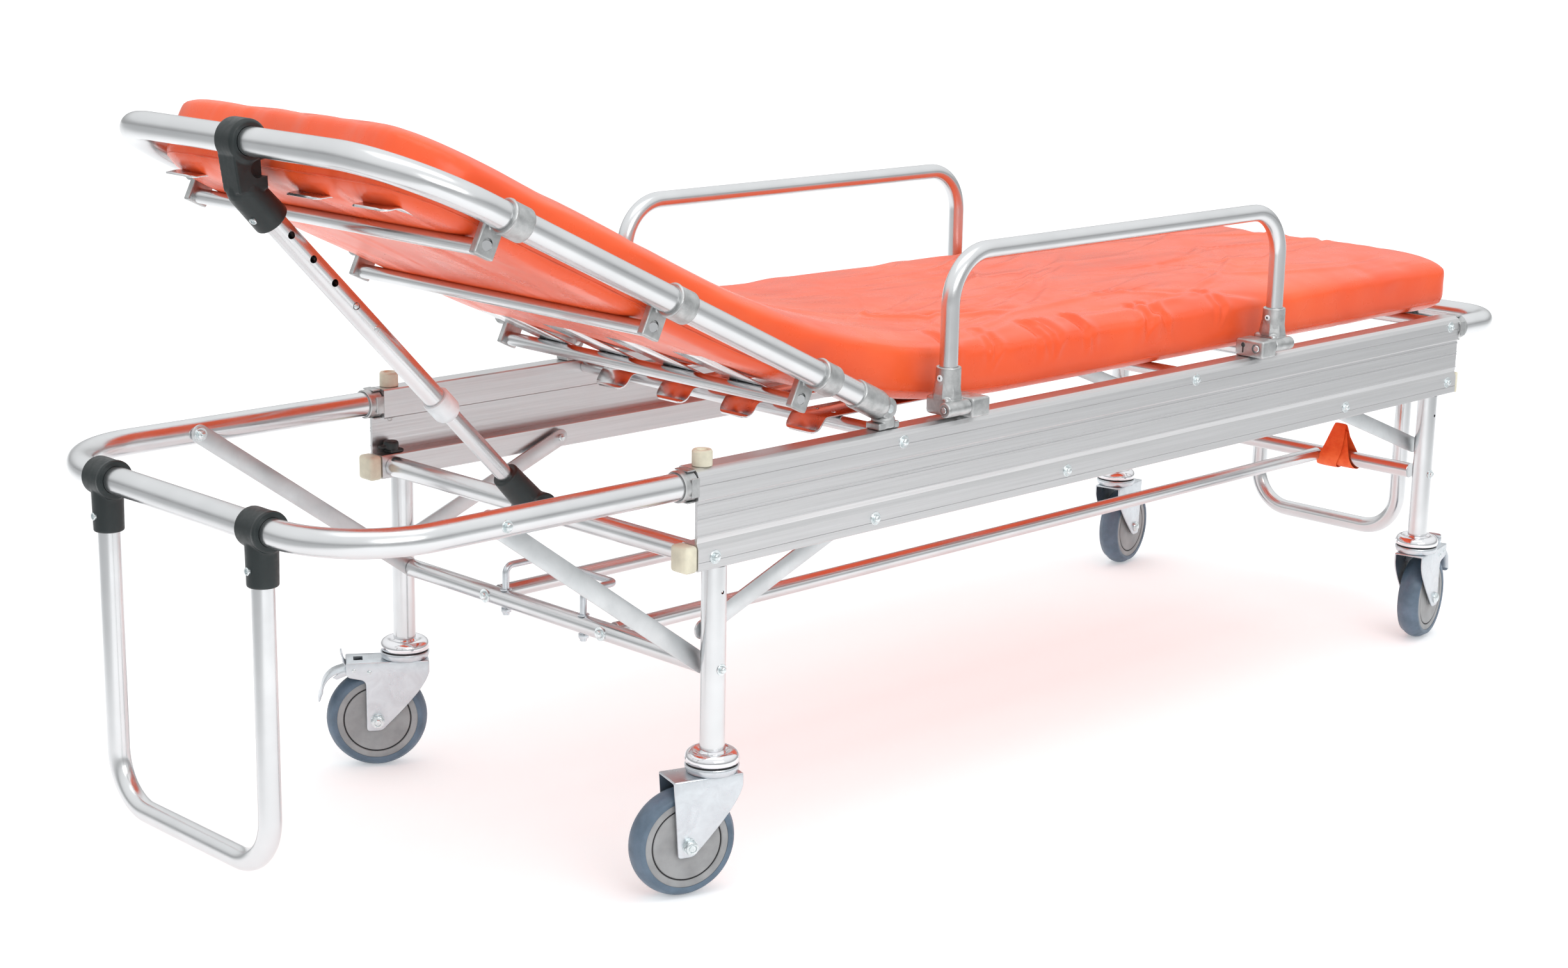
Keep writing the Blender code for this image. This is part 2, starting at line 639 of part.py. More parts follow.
def make_back_slats(parent):
    """Three cross tubes hung from the side tubes by six cast clamps, and four slats on them."""
    drop, reach = -BACK_CROSS_DROP, BACK_CROSS_REACH
    pieces, holes = [], []
    for along in BACK_CLAMPS:
        start, stop, axis = along - CLAMP_HALF, along + CLAMP_HALF, along + LUG_SHIFT
        pieces.append(rod(back_spot(axis, -reach, drop), back_spot(axis, reach, drop), CROSS_R))
        lug = [back_point(axis - LUG_HALF, up) for up in LUG_LEVELS]
        lug += [back_point(axis + LUG_HALF, up) for up in reversed(LUG_LEVELS)]
        for _, side in SIDES:
            y = side * BACK_SIDE_Y
            pieces.append(rod(back_spot(start, y, 0), back_spot(stop, y, 0), BACK_R + CLAMP_WALL, 14))
            pieces.append(prism(lug, side * (reach - LUG_THICK), side * reach))
            low, high = start - CLAMP_HALF, stop + CLAMP_HALF
            holes.append(bore(back_spot(low, y, 0), back_spot(high, y, 0), BACK_R))
    low = drop + CROSS_R - SLAT_SEAT
    high = low + SLAT_THICK
    start, stop = BACK_SLATS
    outline = [back_point(start, low), back_point(stop, low), back_point(stop, high), back_point(start, high)]
    pieces += [prism(outline, y - SLAT_WIDTH / 2, y + SLAT_WIDTH / 2) for y in SLAT_Y]
    add("back_slat_frame", combine(pieces[0], pieces[1:], holes), ALUMINIUM, parent)


# ------------------------------------------------------------------ telescopic strut
END_TUBE = back_point(BACK_LENGTH, 0)
SPAN = math.hypot(END_TUBE[0] - HEAD_CROSS[0], END_TUBE[1] - HEAD_CROSS[1])
STRUT_ANGLE = math.atan2(END_TUBE[1] - HEAD_CROSS[1], END_TUBE[0] - HEAD_CROSS[0])
STRUT_ANGLE += math.asin(STRUT_OFFSET / SPAN)


def strut_point(along):
    """A point on the strut's axis, measured from the head cross tube's axis."""
    x, z = HEAD_CROSS
    return x + math.cos(STRUT_ANGLE) * along, 0.0, z + math.sin(STRUT_ANGLE) * along


def across(centre, half, radius, sides=16):
    """A round bar along Y through a point of the middle plane."""
    x, z = centre
    return rod((x, -half, z), (x, half, z), radius, sides)


def along_strut(start, stop, radius, sides=12, end_radius=None):
    return rod(strut_point(start), strut_point(stop), radius, sides, end_radius)


def strut_bore(start, stop, radius, sides=12):
    return bore(strut_point(start), strut_point(stop), radius, sides)


def make_strut_foot(parent):
    """The clamp that turns on the head cross tube, and the inner tube that stands in it."""
    x, z = HEAD_CROSS
    radius, half = FOOT_RING
    ring = across(HEAD_CROSS, half, radius)
    wide, narrow = FOOT_SOCKET_R
    socket = along_strut(FOOT_SOCKET_START, FOOT_SOCKET_TOP, wide, 14, narrow)
    foot, top = INNER_TUBE
    cuts = [
        bore((x, -2 * half, z), (x, 2 * half, z), UPPER_CROSS_R),
        strut_bore(foot - GAP, 2 * FOOT_SOCKET_TOP, STRUT_INNER_R),
    ]
    add("strut_clamp", combine(ring, [socket], cuts), BLACK, parent)
    add("strut_inner_tube", along_strut(foot, top, STRUT_INNER_R), ALUMINIUM, parent)


def make_strut_top(parent):
    """The outer tube with its pin holes, the bush in its foot, and the elbow on its top."""
    low, seat, high = BUSH
    outer = along_strut(seat + GAP, OUTER_TOP, STRUT_OUTER_R, 16)
    cuts = [strut_bore(low, 2 * OUTER_TOP, STRUT_INNER_R)]
    for i in range(PIN_HOLES):
        spot = Vector(strut_point(PIN_HOLE_TOP - PIN_HOLE_PITCH * i))
        cuts.append(rod(spot - Vector((0, 2 * STRUT_OUTER_R, 0)), spot, PIN_HOLE_R, 8))
    add("strut_outer_tube", combine(outer, [], cuts), ALUMINIUM, parent)

    bush = along_strut(low, high, BUSH_R, 16)
    cuts = [strut_bore(low / 2, 2 * high, STRUT_INNER_R), strut_bore(seat, 2 * high, STRUT_OUTER_R, 16)]
    add("strut_bush", combine(bush, [], cuts), WHITE, parent)

    x, z = END_TUBE
    radius, half = ELBOW_RING
    knee = Vector(strut_point(ELBOW_AT))
    place = Matrix.Translation(knee)
    ring = across(END_TUBE, half, radius, 20)
    neck = rod((x + ELBOW_NECK[0], 0, z + ELBOW_NECK[1]), knee, ELBOW_NECK_R)
    ball = mesh_from(lambda bm: bmesh.ops.create_uvsphere(
        bm, u_segments=12, v_segments=6, radius=ELBOW_R, matrix=place))
    socket = along_strut(ELBOW_AT, ELBOW_MOUTH, ELBOW_R, 14, ELBOW_MOUTH_R)
    cuts = [
        bore((x, -2 * half, z), (x, 2 * half, z), BACK_R, 20, STRUT_SLACK),
        strut_bore(ELBOW_MOUTH - ELBOW_R, OUTER_TOP + GAP, STRUT_OUTER_R, 16),
    ]
    add("strut_elbow", combine(ring, [neck, ball, socket], cuts), BLACK, parent)


# ------------------------------------------------------------------ guard rails
def hung(name, data, finish, empty):
    """Adds a piece that is drawn in the middle-plane frame and carried by an empty."""
    piece = add(name, data, finish)
    piece.parent = empty
    piece.location = -Vector(empty.location)


def make_guard_rail(label, side, parent):
    y, low, top = side * GUARD_Y, GUARD_LOW_Z, GUARD_TOP_Z
    corners = [
        (GUARD_HEAD_X, y, low), (GUARD_HEAD_X, y, top),
        (GUARD_FOOT_X, y, top), (GUARD_FOOT_X, y, low),
    ]
    curve = tube_curve("guard", rounded(corners, GUARD_BEND, 5), GUARD_R)
    hung(f"guard_rail_{label}", curve, ALUMINIUM, parent)
    for end, x, way in (("head", GUARD_HEAD_X, 1), ("foot", GUARD_FOOT_X, -1)):
        add(f"guard_socket_{end}_{label}", guard_socket(x, side), CAST, parent)
        add(f"guard_bracket_{end}_{label}", guard_bracket(x, side, way), CAST)


def side_box(side, x_pair, y_pair, z_pair):
    """A box whose Y limits are given for the left side."""
    y_pair = sorted(side * y for y in y_pair)
    return box(*zip(sorted(x_pair), y_pair, z_pair))


def guard_socket(x, side):
    """The cast foot of a post: a barrel on the fold pin, a shoulder and a collar for the tube."""
    y, pin_y, pin_z = side * GUARD_Y, side * GUARD_PIN[0], GUARD_PIN[1]
    start, stop = (x + run for run in GUARD_BARREL)
    barrel = rod((start, pin_y, pin_z), (stop, pin_y, pin_z), GUARD_BARREL_R, 14)
    body = side_box(side, (x - SOCKET_HALF, x + SOCKET_HALF), (SOCKET_INNER_Y, GUARD_PIN[0]), SOCKET_BODY_Z)
    foot, neck, wide = SOCKET_SHOULDER
    low, high, narrow = SOCKET_COLLAR
    shoulder = rod((x, y, foot), (x, y, neck), wide, 14, narrow)
    collar = rod((x, y, low), (x, y, high), narrow, 14)
    clear = stop - start
    cuts = [
        bore((x - clear, pin_y, pin_z), (x + clear, pin_y, pin_z), GUARD_PIN_R, 10),
        bore((x, y, GUARD_LOW_Z - GAP), (x, y, high + GUARD_R), GUARD_R),
    ]
    return combine(body, [barrel, shoulder, collar], cuts)


def guard_bracket(x, side, way):
    """The block on the rail beside a post, which holds the fold pin."""
    pin_y, pin_z = side * GUARD_PIN[0], GUARD_PIN[1]
    outer, inner = (x + run for run in GUARD_BARREL[::way])
    face = inner + way * GAP
    ends = (face, face + way * BRACKET_LENGTH)
    block = side_box(side, ends, BRACKET_Y, (RAIL_TOP_Z + GAP, BRACKET_TOP_Z))
    start, stop = outer, face + way * GUARD_PIN_END
    return combine(block, [rod((start, pin_y, pin_z), (stop, pin_y, pin_z), GUARD_PIN_R, 10)])


# ------------------------------------------------------------------ support legs
def make_support_leg(end, x, half, parent):
    stem_top, stem_low = (LOOP_Z + step for step in TEE_STEM)
    seat, low = LOOP_Z + TEE_SEAT, SUPPORT_BOTTOM_Z
    corners = [(x, -half, seat), (x, -half, low), (x, half, low), (x, half, seat)]
    curve = tube_curve("support", rounded(corners, SUPPORT_BEND, 5), SUPPORT_R)
    hung(f"support_leg_{end}", curve, ALUMINIUM, parent)
    for label, side in SIDES:
        y = side * half
        ring = rod((x, y - TEE_HALF, LOOP_Z), (x, y + TEE_HALF, LOOP_Z), TEE_RING_R, 16)
        stem = rod((x, y, stem_top), (x, y, stem_low), TEE_STEM_R, 14)
        clear = 2 * TEE_HALF
        cuts = [
            bore((x, y - clear, LOOP_Z), (x, y + clear, LOOP_Z), LOOP_R),
            bore((x, y, stem_low - SUPPORT_R), (x, y, seat + GAP), SUPPORT_R),
        ]
        add(f"support_tee_{end}_{label}", combine(ring, [stem], cuts), BLACK, parent)


# ------------------------------------------------------------------ casters
def fork_outline(has_brake):
    """A fork cheek seen from the side: x along the trail, z up."""
    back = FORK_BACK_BRAKED if has_brake else FORK_BACK
    under, shoulder = FORK_SHOULDER_Z
    points = [(-FORK_FRONT, FORK_TOP_Z), *FORK_NOSE]
    points += arc((TRAIL, WHEEL_R), FORK_FOOT_R, 215, 360, 4)
    if has_brake:
        points += [(TRAIL + FORK_FOOT_R, under), (back, shoulder)]
    return points + [(back, FORK_TOP_Z)]


def fork_mesh(has_brake):
    """Two cheeks under a flat crown, the swivel's dome on top, and the axle with its nuts."""
    outline = fork_outline(has_brake)
    half, low = FORK_INNER + FORK_PLATE, FORK_TOP_Z - CROWN_THICK
    cheeks = [prism(outline, way * FORK_INNER, way * half) for way in (-1, 1)]
    crown = box((-FORK_FRONT, -half, low), (outline[-1][0], half, FORK_TOP_Z))
    top, foot = LEG_BOTTOM_Z - GAP, FORK_TOP_Z - CROWN_THICK / 3
    dome = turned([
        (0.0, top), (SWIVEL_TOP_R, top), SWIVEL_SHOULDER, (SWIVEL_R, SWIVEL_RIM_Z),
        (SWIVEL_FOOT_R, foot), (0.0, foot),
    ], 16)
    reach = half + AXLE_END
    axle = rod((TRAIL, -reach, WHEEL_R), (TRAIL, reach, WHEEL_R), AXLE_R, 10)
    seat, head = half - FORK_PLATE / 4, half + NUT_HEIGHT
    nuts = [rod((TRAIL, way * seat, WHEEL_R), (TRAIL, way * head, WHEEL_R), NUT_R, 6) for way in (-1, 1)]
    return combine(crown, [*cheeks, dome, axle, *nuts])


def wheel_mesh():
    """The wheel as a ring about its axle, along Y."""
    half_tread = [(AXLE_R + 2 * GAP, WHEEL_HALF), (HUB_R, WHEEL_HALF), *TREAD]
    profile = half_tread + [(r, -z) for r, z in reversed(half_tread)]
    return moved(turned(profile, 28, ring=True), Matrix.Rotation(math.radians(90), 4, "X"))


def pedal_mesh():
    """The brake's cranked plate, drawn about its pivot."""
    outline = [(x - PEDAL_PIVOT[0], z - PEDAL_PIVOT[1]) for x, z in PEDAL_UPPER + PEDAL_TREAD + PEDAL_LOWER]
    return prism(outline, -PEDAL_HALF, PEDAL_HALF)


def make_caster(name, x, side, yaw, has_brake):
    swivel = joint_empty(f"swivel_{name}", (x, side * LEG_Y, 0.0), ROOT, math.radians(yaw))
    pieces = [(f"caster_fork_{name}", fork_mesh(has_brake), ZINC, (0.0, 0.0, 0.0))]
    pieces.append((f"wheel_{name}", wheel_mesh(), TYRE, (TRAIL, 0.0, WHEEL_R)))
    if has_brake:
        pieces.append((f"brake_pedal_{name}", pedal_mesh(), ZINC, (PEDAL_PIVOT[0], 0.0, PEDAL_PIVOT[1])))
    for label, mesh, finish, location in pieces:
        piece = add(label, mesh, finish)
        piece.parent = swivel
        piece.location = location


# ------------------------------------------------------------------ mattress and strap
def make_mattress(back_parent):
    half, cut = MATTRESS_HALF, MATTRESS_CHAMFER
    split, foot = MATTRESS_SPLIT_X, MATTRESS_FOOT_X
    outline = [
        (split, -half), (foot - cut * 0.4, -half), (foot, -half + cut), (foot, half - cut),
        (foot - cut * 0.4, half), (split, half),
    ]
    add("mattress_seat", prism(outline, MATTRESS_BOTTOM_Z, MATTRESS_TOP_Z, "XY"), VINYL)

    low, high = BACK_PAD_LEVELS
    half, start, end, cut = BACK_PAD_HALF, BACK_PAD_START, BACK_PAD_END, BACK_PAD_CORNER
    ring = [(start, -half), (end - cut, -half)]
    ring += arc((end - cut, -half + cut), cut, -90, 0, 5)[1:]
    ring += arc((end - cut, half - cut), cut, 0, 90, 5)
    ring += [(start, half)]
    run, rise = BACK_PAD_UNDERCUT
    under = [(end - run, low - GAP), (end + GAP, low - GAP), (end + GAP, low + rise)]
    flat = combine(prism(ring, low, high, "XY"), [], [prism(under, -half, half)])
    place = Matrix.Translation((HINGE[0], 0.0, HINGE[1])) @ Matrix((
        (-math.cos(BACK_TILT), 0.0, math.sin(BACK_TILT), 0.0),
        (0.0, 1.0, 0.0, 0.0),
        (math.sin(BACK_TILT), 0.0, math.cos(BACK_TILT), 0.0),
        (0.0, 0.0, 0.0, 1.0),
    ))
    add("mattress_back", welded(moved(flat, place)), VINYL, back_parent)


def make_strap():
    """The spare restraint strap, wound round the foot cross tube."""
    x, z = LEG_FOOT_X, LOWER_CROSS_Z
    start, stop = STRAP_Y
    coil = rod((x, start, z), (x, stop, z), LOWER_CROSS_R + STRAP_THICK, 14)
    clear = LOWER_CROSS_R
    through = bore((x, start - clear, z), (x, stop + clear, z), LOWER_CROSS_R)
    add("tie_strap", combine(coil, [], [through]), VINYL)


def build():
    make_rails()
    make_loops()
    make_legs_and_tubes()
    make_braces()
    make_catch_hoop()
    make_deck()
    make_hinge_bases()
    backrest = joint_empty("backrest_pin", (HINGE[0], 0.0, HINGE[1]))
    make_back_frame(backrest)
    make_back_slats(backrest)
    strut_foot = joint_empty("strut_foot", (HEAD_CROSS[0], 0.0, HEAD_CROSS[1]))
    strut_slide = joint_empty("strut_slide", strut_point(BUSH[1]))
    make_strut_foot(strut_foot)
    make_strut_top(strut_slide)
    for label, side in SIDES:
        pin = joint_empty(f"guard_pin_{label}", (GUARD_HEAD_X, side * GUARD_PIN[0], GUARD_PIN[1]))
        make_guard_rail(label, side, pin)
    for end, x, half in (("head", HEAD_LOOP_X, HEAD_SUPPORT_Y), ("foot", FOOT_LOOP_X, FOOT_SUPPORT_Y)):
        axis = joint_empty(f"support_axis_{end}", (x, 0.0, LOOP_Z))
        make_support_leg(end, x, half, axis)
    for name, values in CASTERS.items():
        make_caster(name, *values)
    make_mattress(backrest)
    make_strap()


build()
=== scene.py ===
"""The looks of the stretcher trolley: finer tubes, extrusions, castings, casters and the mattress,
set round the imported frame.  Metres, in the frame's own coordinates; pieces are drawn about the
trolley's middle plane (y = 0) and shifted to it when they are made.
"""
import json
import math
import random

import bmesh
import bpy
import numpy as np
from mathutils import Matrix, Vector
from mathutils.bvhtree import BVHTree


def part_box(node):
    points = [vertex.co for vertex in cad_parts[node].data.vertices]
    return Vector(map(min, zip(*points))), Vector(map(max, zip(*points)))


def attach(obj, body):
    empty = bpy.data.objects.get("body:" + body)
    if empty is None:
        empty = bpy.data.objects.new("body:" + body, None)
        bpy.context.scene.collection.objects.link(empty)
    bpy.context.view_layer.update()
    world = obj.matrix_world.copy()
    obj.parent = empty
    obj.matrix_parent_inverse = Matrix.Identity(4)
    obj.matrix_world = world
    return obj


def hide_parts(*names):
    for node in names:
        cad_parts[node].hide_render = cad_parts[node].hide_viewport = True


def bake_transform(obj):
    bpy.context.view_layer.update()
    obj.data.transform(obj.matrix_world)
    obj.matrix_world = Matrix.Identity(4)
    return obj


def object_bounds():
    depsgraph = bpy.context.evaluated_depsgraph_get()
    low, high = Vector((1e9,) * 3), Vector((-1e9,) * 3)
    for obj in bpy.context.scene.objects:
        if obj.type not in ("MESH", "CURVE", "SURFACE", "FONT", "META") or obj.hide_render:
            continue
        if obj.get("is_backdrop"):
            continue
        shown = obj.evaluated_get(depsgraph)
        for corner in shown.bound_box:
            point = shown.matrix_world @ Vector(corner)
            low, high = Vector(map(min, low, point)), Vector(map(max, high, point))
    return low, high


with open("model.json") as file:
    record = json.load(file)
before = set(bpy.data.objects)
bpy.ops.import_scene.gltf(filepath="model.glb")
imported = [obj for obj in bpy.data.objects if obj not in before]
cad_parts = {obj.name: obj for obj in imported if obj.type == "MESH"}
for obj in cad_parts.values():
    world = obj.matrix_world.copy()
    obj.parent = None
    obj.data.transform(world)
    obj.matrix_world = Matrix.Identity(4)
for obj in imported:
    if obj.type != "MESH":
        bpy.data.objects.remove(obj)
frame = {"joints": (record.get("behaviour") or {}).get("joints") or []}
CAD_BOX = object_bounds()
SEED = 7
ORIGIN, ACROSS, NEAR, UP = (0, 0, 0), (0, 1, 0), (0, -1, 0), (0, 0, 1)
GAP = 0.0003          # between neighbouring pieces
TIP = 0.0002          # radius that closes a turned profile at its axis

# ------------------------------------------------------------------ places read from the frame
MID = sum(corner[1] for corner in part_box("strut_inner_tube")) / 2
RAIL_LOW, RAIL_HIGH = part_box("side_rail_left")
RAIL_HEAD, RAIL_FOOT = RAIL_LOW[0], RAIL_HIGH[0]
RAIL_BOTTOM, RAIL_TOP = RAIL_LOW[2], RAIL_HIGH[2]
RAIL_OUTER = RAIL_HIGH[1] - MID
RAIL_INNER = RAIL_LOW[1] - MID
JOINTS = {joint["name"]: joint for joint in frame["joints"]}
HINGE_X, _, HINGE_Z = JOINTS["backrest_hinge"]["pos_m"]
STRUT_X, _, STRUT_Z = JOINTS["strut_swing"]["pos_m"]
STRUT_DIR = Vector(JOINTS["strut_slide"]["axis"])
LEG_X = {"head": JOINTS["swivel_head_left"]["pos_m"][0], "foot": JOINTS["swivel_foot_left"]["pos_m"][0]}
LEG_Y = JOINTS["swivel_head_left"]["pos_m"][1] - MID
LOOP_Z = JOINTS["support_head_fold"]["pos_m"][2]
LOOP_X = {end: JOINTS[f"support_{end}_fold"]["pos_m"][0] for end in ("head", "foot")}
LOW_Z = sum(corner[2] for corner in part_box("lower_cross_tube_head")) / 2
GUARD_PIN_Y = JOINTS["guard_fold_left"]["pos_m"][1] - MID
GUARD_PIN_Z = JOINTS["guard_fold_left"]["pos_m"][2]
WHEEL_R = JOINTS["roll_head_left"]["pos_m"][2]

# ------------------------------------------------------------------ driving dimensions
SIDES = (("right", -1), ("left", 1))
ENDS = (("head", -1), ("foot", 1))
TUBE_SIDES = 32
LOWER_BOX_DEPTH = 0.026
CAP_LIP = 0.0004
LOOP_R, LOOP_Y = 0.015, 0.280
LOOP_BEND = {"head": 0.110, "foot": 0.062}
LEG_R = 0.014
BACK_TILT = math.radians(25.70)
BACK_LENGTH = 0.7407
BACK_R, BACK_Y, BACK_BEND = 0.015, 0.275, 0.108
BACK_CLAMPS = (0.106, 0.351, 0.594)
LUG_SHIFT = 0.008
BACK_DROP = 0.034
CROSS_R = 0.0085
SLAT_Y = (-0.170, -0.057, 0.057, 0.170)
SLAT_HALF = 0.028
RIVET_OFFSETS = (-0.014, 0.014)
GUARD_R, GUARD_Y, GUARD_TOP, GUARD_BEND = 0.0110, 0.285, 0.678, 0.060
GUARD_X = {"head": RAIL_HEAD + 0.404, "foot": RAIL_HEAD + 1.0545}
SUPPORT_R, SUPPORT_BEND, SUPPORT_LOW = 0.012, 0.058, 0.108
BRACE_HALF = 0.011
STRUT_R = 0.0125
SUPPORT_Y = {"head": 0.145, "foot": 0.130}
TRAIL = 0.036
YAW = {"head_right": 162.0, "head_left": 146.0, "foot_right": 12.0, "foot_left": 12.0}
BRAKED = ("head_left", "foot_right")


# ------------------------------------------------------------------ shape tools
def smooth_path(points, radius, steps=10):
    """A path with each inner corner replaced by an arc of the bend radius."""
    points = [Vector(p) for p in points]
    path = [points[0]]
    for before, corner, after in zip(points, points[1:], points[2:]):
        a, b = (before - corner).normalized(), (after - corner).normalized()
        half = a.angle(b) / 2
        centre = corner + (a + b).normalized() * (radius / math.sin(half))
        first = corner + a * (radius / math.tan(half))
        last = corner + b * (radius / math.tan(half))
        spread = (first - centre).angle(last - centre)
        axis = (first - centre).cross(last - centre).normalized()
        for i in range(steps + 1):
            path.append(centre + Matrix.Rotation(spread * i / steps, 3, axis) @ (first - centre))
    path.append(points[-1])
    return path


def arc(centre, radius, start, end, steps):
    turns = [math.radians(start + (end - start) * i / steps) for i in range(steps + 1)]
    return [(centre[0] + radius * math.cos(t), centre[1] + radius * math.sin(t)) for t in turns]


def frames_along(path):
    """A frame (point, normal, binormal) at each point, carried along without twisting."""
    tangents = []
    for i, point in enumerate(path):
        ahead = path[min(i + 1, len(path) - 1)]
        behind = path[max(i - 1, 0)]
        tangents.append((ahead - behind).normalized())
    helper = Vector(UP) if abs(tangents[0].z) < 0.9 else Vector((1, 0, 0))
    normal = tangents[0].cross(helper).normalized()
    frames = []
    for point, tangent in zip(path, tangents):
        normal = (normal - tangent * normal.dot(tangent)).normalized()
        frames.append((point, normal, tangent.cross(normal)))
    return frames


class Shape:
    """Collects the solids that make up one piece."""

    def __init__(self):
        self.bm = bmesh.new()

    def _rings(self, rings, closed=False, cap=True):
        made = [[self.bm.verts.new(p) for p in ring] for ring in rings]
        pairs = list(zip(made, made[1:]))
        if closed:
            pairs.append((made[-1], made[0]))
        for a, b in pairs:
            count = len(a)
            for i in range(count):
                k = (i + 1) % count
                self.bm.faces.new((a[i], a[k], b[k], b[i]))
        if cap and not closed:
            self.bm.faces.new(list(reversed(made[0])))
            self.bm.faces.new(made[-1])

    def tube(self, path, radius, sides=TUBE_SIDES, wall=None, edge=0.0004):
        """A round tube along a path, with softened ends, and hollow where a wall is given."""
        path = [Vector(p) for p in path]
        frames = frames_along(path)
        start = (path[1] - path[0]).normalized() * edge
        stop = (path[-1] - path[-2]).normalized() * edge

        def ring(frame_at, r, shift=Vector((0, 0, 0))):
            point, normal, binormal = frame_at
            turns = [2 * math.pi * i / sides for i in range(sides)]
            return [point + shift + (normal * math.cos(t) + binormal * math.sin(t)) * r for t in turns]

        rings = [ring(frames[0], radius - edge), ring(frames[0], radius, start)]
        rings += [ring(f, radius) for f in frames[1:-1]]
        rings += [ring(frames[-1], radius, -stop), ring(frames[-1], radius - edge)]
        if wall:
            rings += [ring(f, radius - wall) for f in reversed(frames)]
        self._rings(rings, closed=bool(wall))
        return self

    def lathe(self, profile, origin, axis, sides=TUBE_SIDES, ring=False):
        """A profile of (radius, height) turned about an axis; ring joins its two ends."""
        axis = Vector(axis).normalized()
        helper = Vector(UP) if abs(axis.z) < 0.9 else Vector((1, 0, 0))
        across = axis.cross(helper).normalized()
        other = axis.cross(across)
        origin = Vector(origin)
        turns = [2 * math.pi * i / sides for i in range(sides)]
        spokes = [across * math.cos(t) + other * math.sin(t) for t in turns]
        self._rings([[origin + axis * h + spoke * r for spoke in spokes] for r, h in profile], closed=ring)
        return self

    def rod(self, start, end, radius, sides=TUBE_SIDES, edge=0.0006, end_radius=None):
        start, end = Vector(start), Vector(end)
        length = (end - start).length
        last = radius if end_radius is None else end_radius
        profile = [(radius - edge, 0), (radius, edge), (last, length - edge), (last - edge, length)]
        return self.lathe(profile, start, end - start, sides)

    def prism(self, outline, low, high, plane="XZ", bevel=0.0, segments=2):
        """A flat outline extruded across its plane, its sharp edges rounded."""
        spots = {
            "XZ": lambda a, b, d: (a, d, b),
            "YZ": lambda a, b, d: (d, a, b),
            "XY": lambda a, b, d: (a, b, d),
        }[plane]
        work = bmesh.new()
        face = work.faces.new([work.verts.new(spots(a, b, low)) for a, b in outline])
        out = bmesh.ops.extrude_face_region(work, geom=[face])
        top = [v for v in out["geom"] if isinstance(v, bmesh.types.BMVert)]
        bmesh.ops.translate(work, verts=top, vec=Vector(spots(0, 0, high - low)))
        return self._take(work, bevel, segments)

    def box(self, low, high, bevel=0.0, segments=2, turn=None):
        low, high = Vector(low), Vector(high)
        work = bmesh.new()
        place = Matrix.Translation((low + high) / 2) @ (turn or Matrix.Identity(4))
        bmesh.ops.create_cube(work, size=1.0, matrix=place @ Matrix.Diagonal((*(high - low), 1.0)))
        return self._take(work, bevel, segments)

    def ball(self, centre, radius, squash=1.0):
        place = Matrix.Translation(centre) @ Matrix.Diagonal((1, 1, squash, 1))
        bmesh.ops.create_uvsphere(self.bm, u_segments=24, v_segments=12, radius=radius, matrix=place)
        return self

    def _take(self, work, bevel, segments):
        bmesh.ops.recalc_face_normals(work, faces=work.faces)
        if bevel:
            sharp = [e for e in work.edges if e.calc_face_angle(0) > math.radians(28)]
            bmesh.ops.bevel(
                work, geom=sharp, offset=bevel, segments=segments,
                profile=0.5, affect="EDGES", clamp_overlap=True,
            )
        scratch = bpy.data.meshes.new("scratch")
        work.to_mesh(scratch)
        work.free()
        self.bm.from_mesh(scratch)
        bpy.data.meshes.remove(scratch)
        return self

    def move(self, matrix):
        bmesh.ops.transform(self.bm, matrix=matrix, verts=self.bm.verts)
        return self

    def join(self, other):
        scratch = other.mesh()
        self.bm.from_mesh(scratch)
        bpy.data.meshes.remove(scratch)
        return self

    def mesh(self):
        bmesh.ops.recalc_face_normals(self.bm, faces=self.bm.faces)
        mesh = bpy.data.meshes.new("piece")
        self.bm.to_mesh(mesh)
        self.bm.free()
        return mesh


def across_ends(x, y, z, half):
    """The two ends of a line across the trolley, half its length to each side of a point."""
    return (x, y - half, z), (x, y + half, z)


def bore(start, end, radius, sides=40):
    """A cutter for a round hole."""
    return Shape().rod(start, end, radius, sides, 0.0001)


def disc(origin, axis, radius, depth, sides=24, start=0.0):
    """A plain disc or blind hole's cutter."""
    return Shape().lathe([(radius, start), (radius, depth)], origin, axis, sides)


def middle_box(node):
    """A node's box, measured from the trolley's middle plane."""
    return [Vector(corner) - Vector((0, MID, 0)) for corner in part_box(node)]


def helper_object(mesh):
    helper = bpy.data.objects.new("helper", mesh)
    bpy.context.scene.collection.objects.link(helper)
    return helper


def evaluated(helper):
    graph = bpy.context.evaluated_depsgraph_get()
    graph.update()
    mesh = bpy.data.meshes.new_from_object(helper.evaluated_get(graph))
    bpy.data.objects.remove(helper, do_unlink=True)
    return mesh


def moulded(shape, voxel=0.0010, rounds=4, holes=()):
    """Fuses overlapping solids into one skin with soft inner corners, as in a casting, then cuts it."""
    helper = helper_object(shape.mesh())
    remesh = helper.modifiers.new("fuse", "REMESH")
    remesh.mode = "VOXEL"
    remesh.voxel_size = voxel
    soften = helper.modifiers.new("soften", "SMOOTH")
    soften.factor = 0.5
    soften.iterations = rounds
    return cut(evaluated(helper), *holes)


def cut(mesh, *holes):
    """Cuts each hole from the mesh with an exact Boolean."""
    if not holes:
        return mesh
    helper = helper_object(mesh)
    tools = []
    for hole in holes:
        tool = helper_object(hole.mesh())
        tools.append(tool)
        modifier = helper.modifiers.new("hole", "BOOLEAN")
        modifier.operation = "DIFFERENCE"
        modifier.object = tool
    result = evaluated(helper)
    for tool in tools:
        bpy.data.objects.remove(tool, do_unlink=True)
    return result


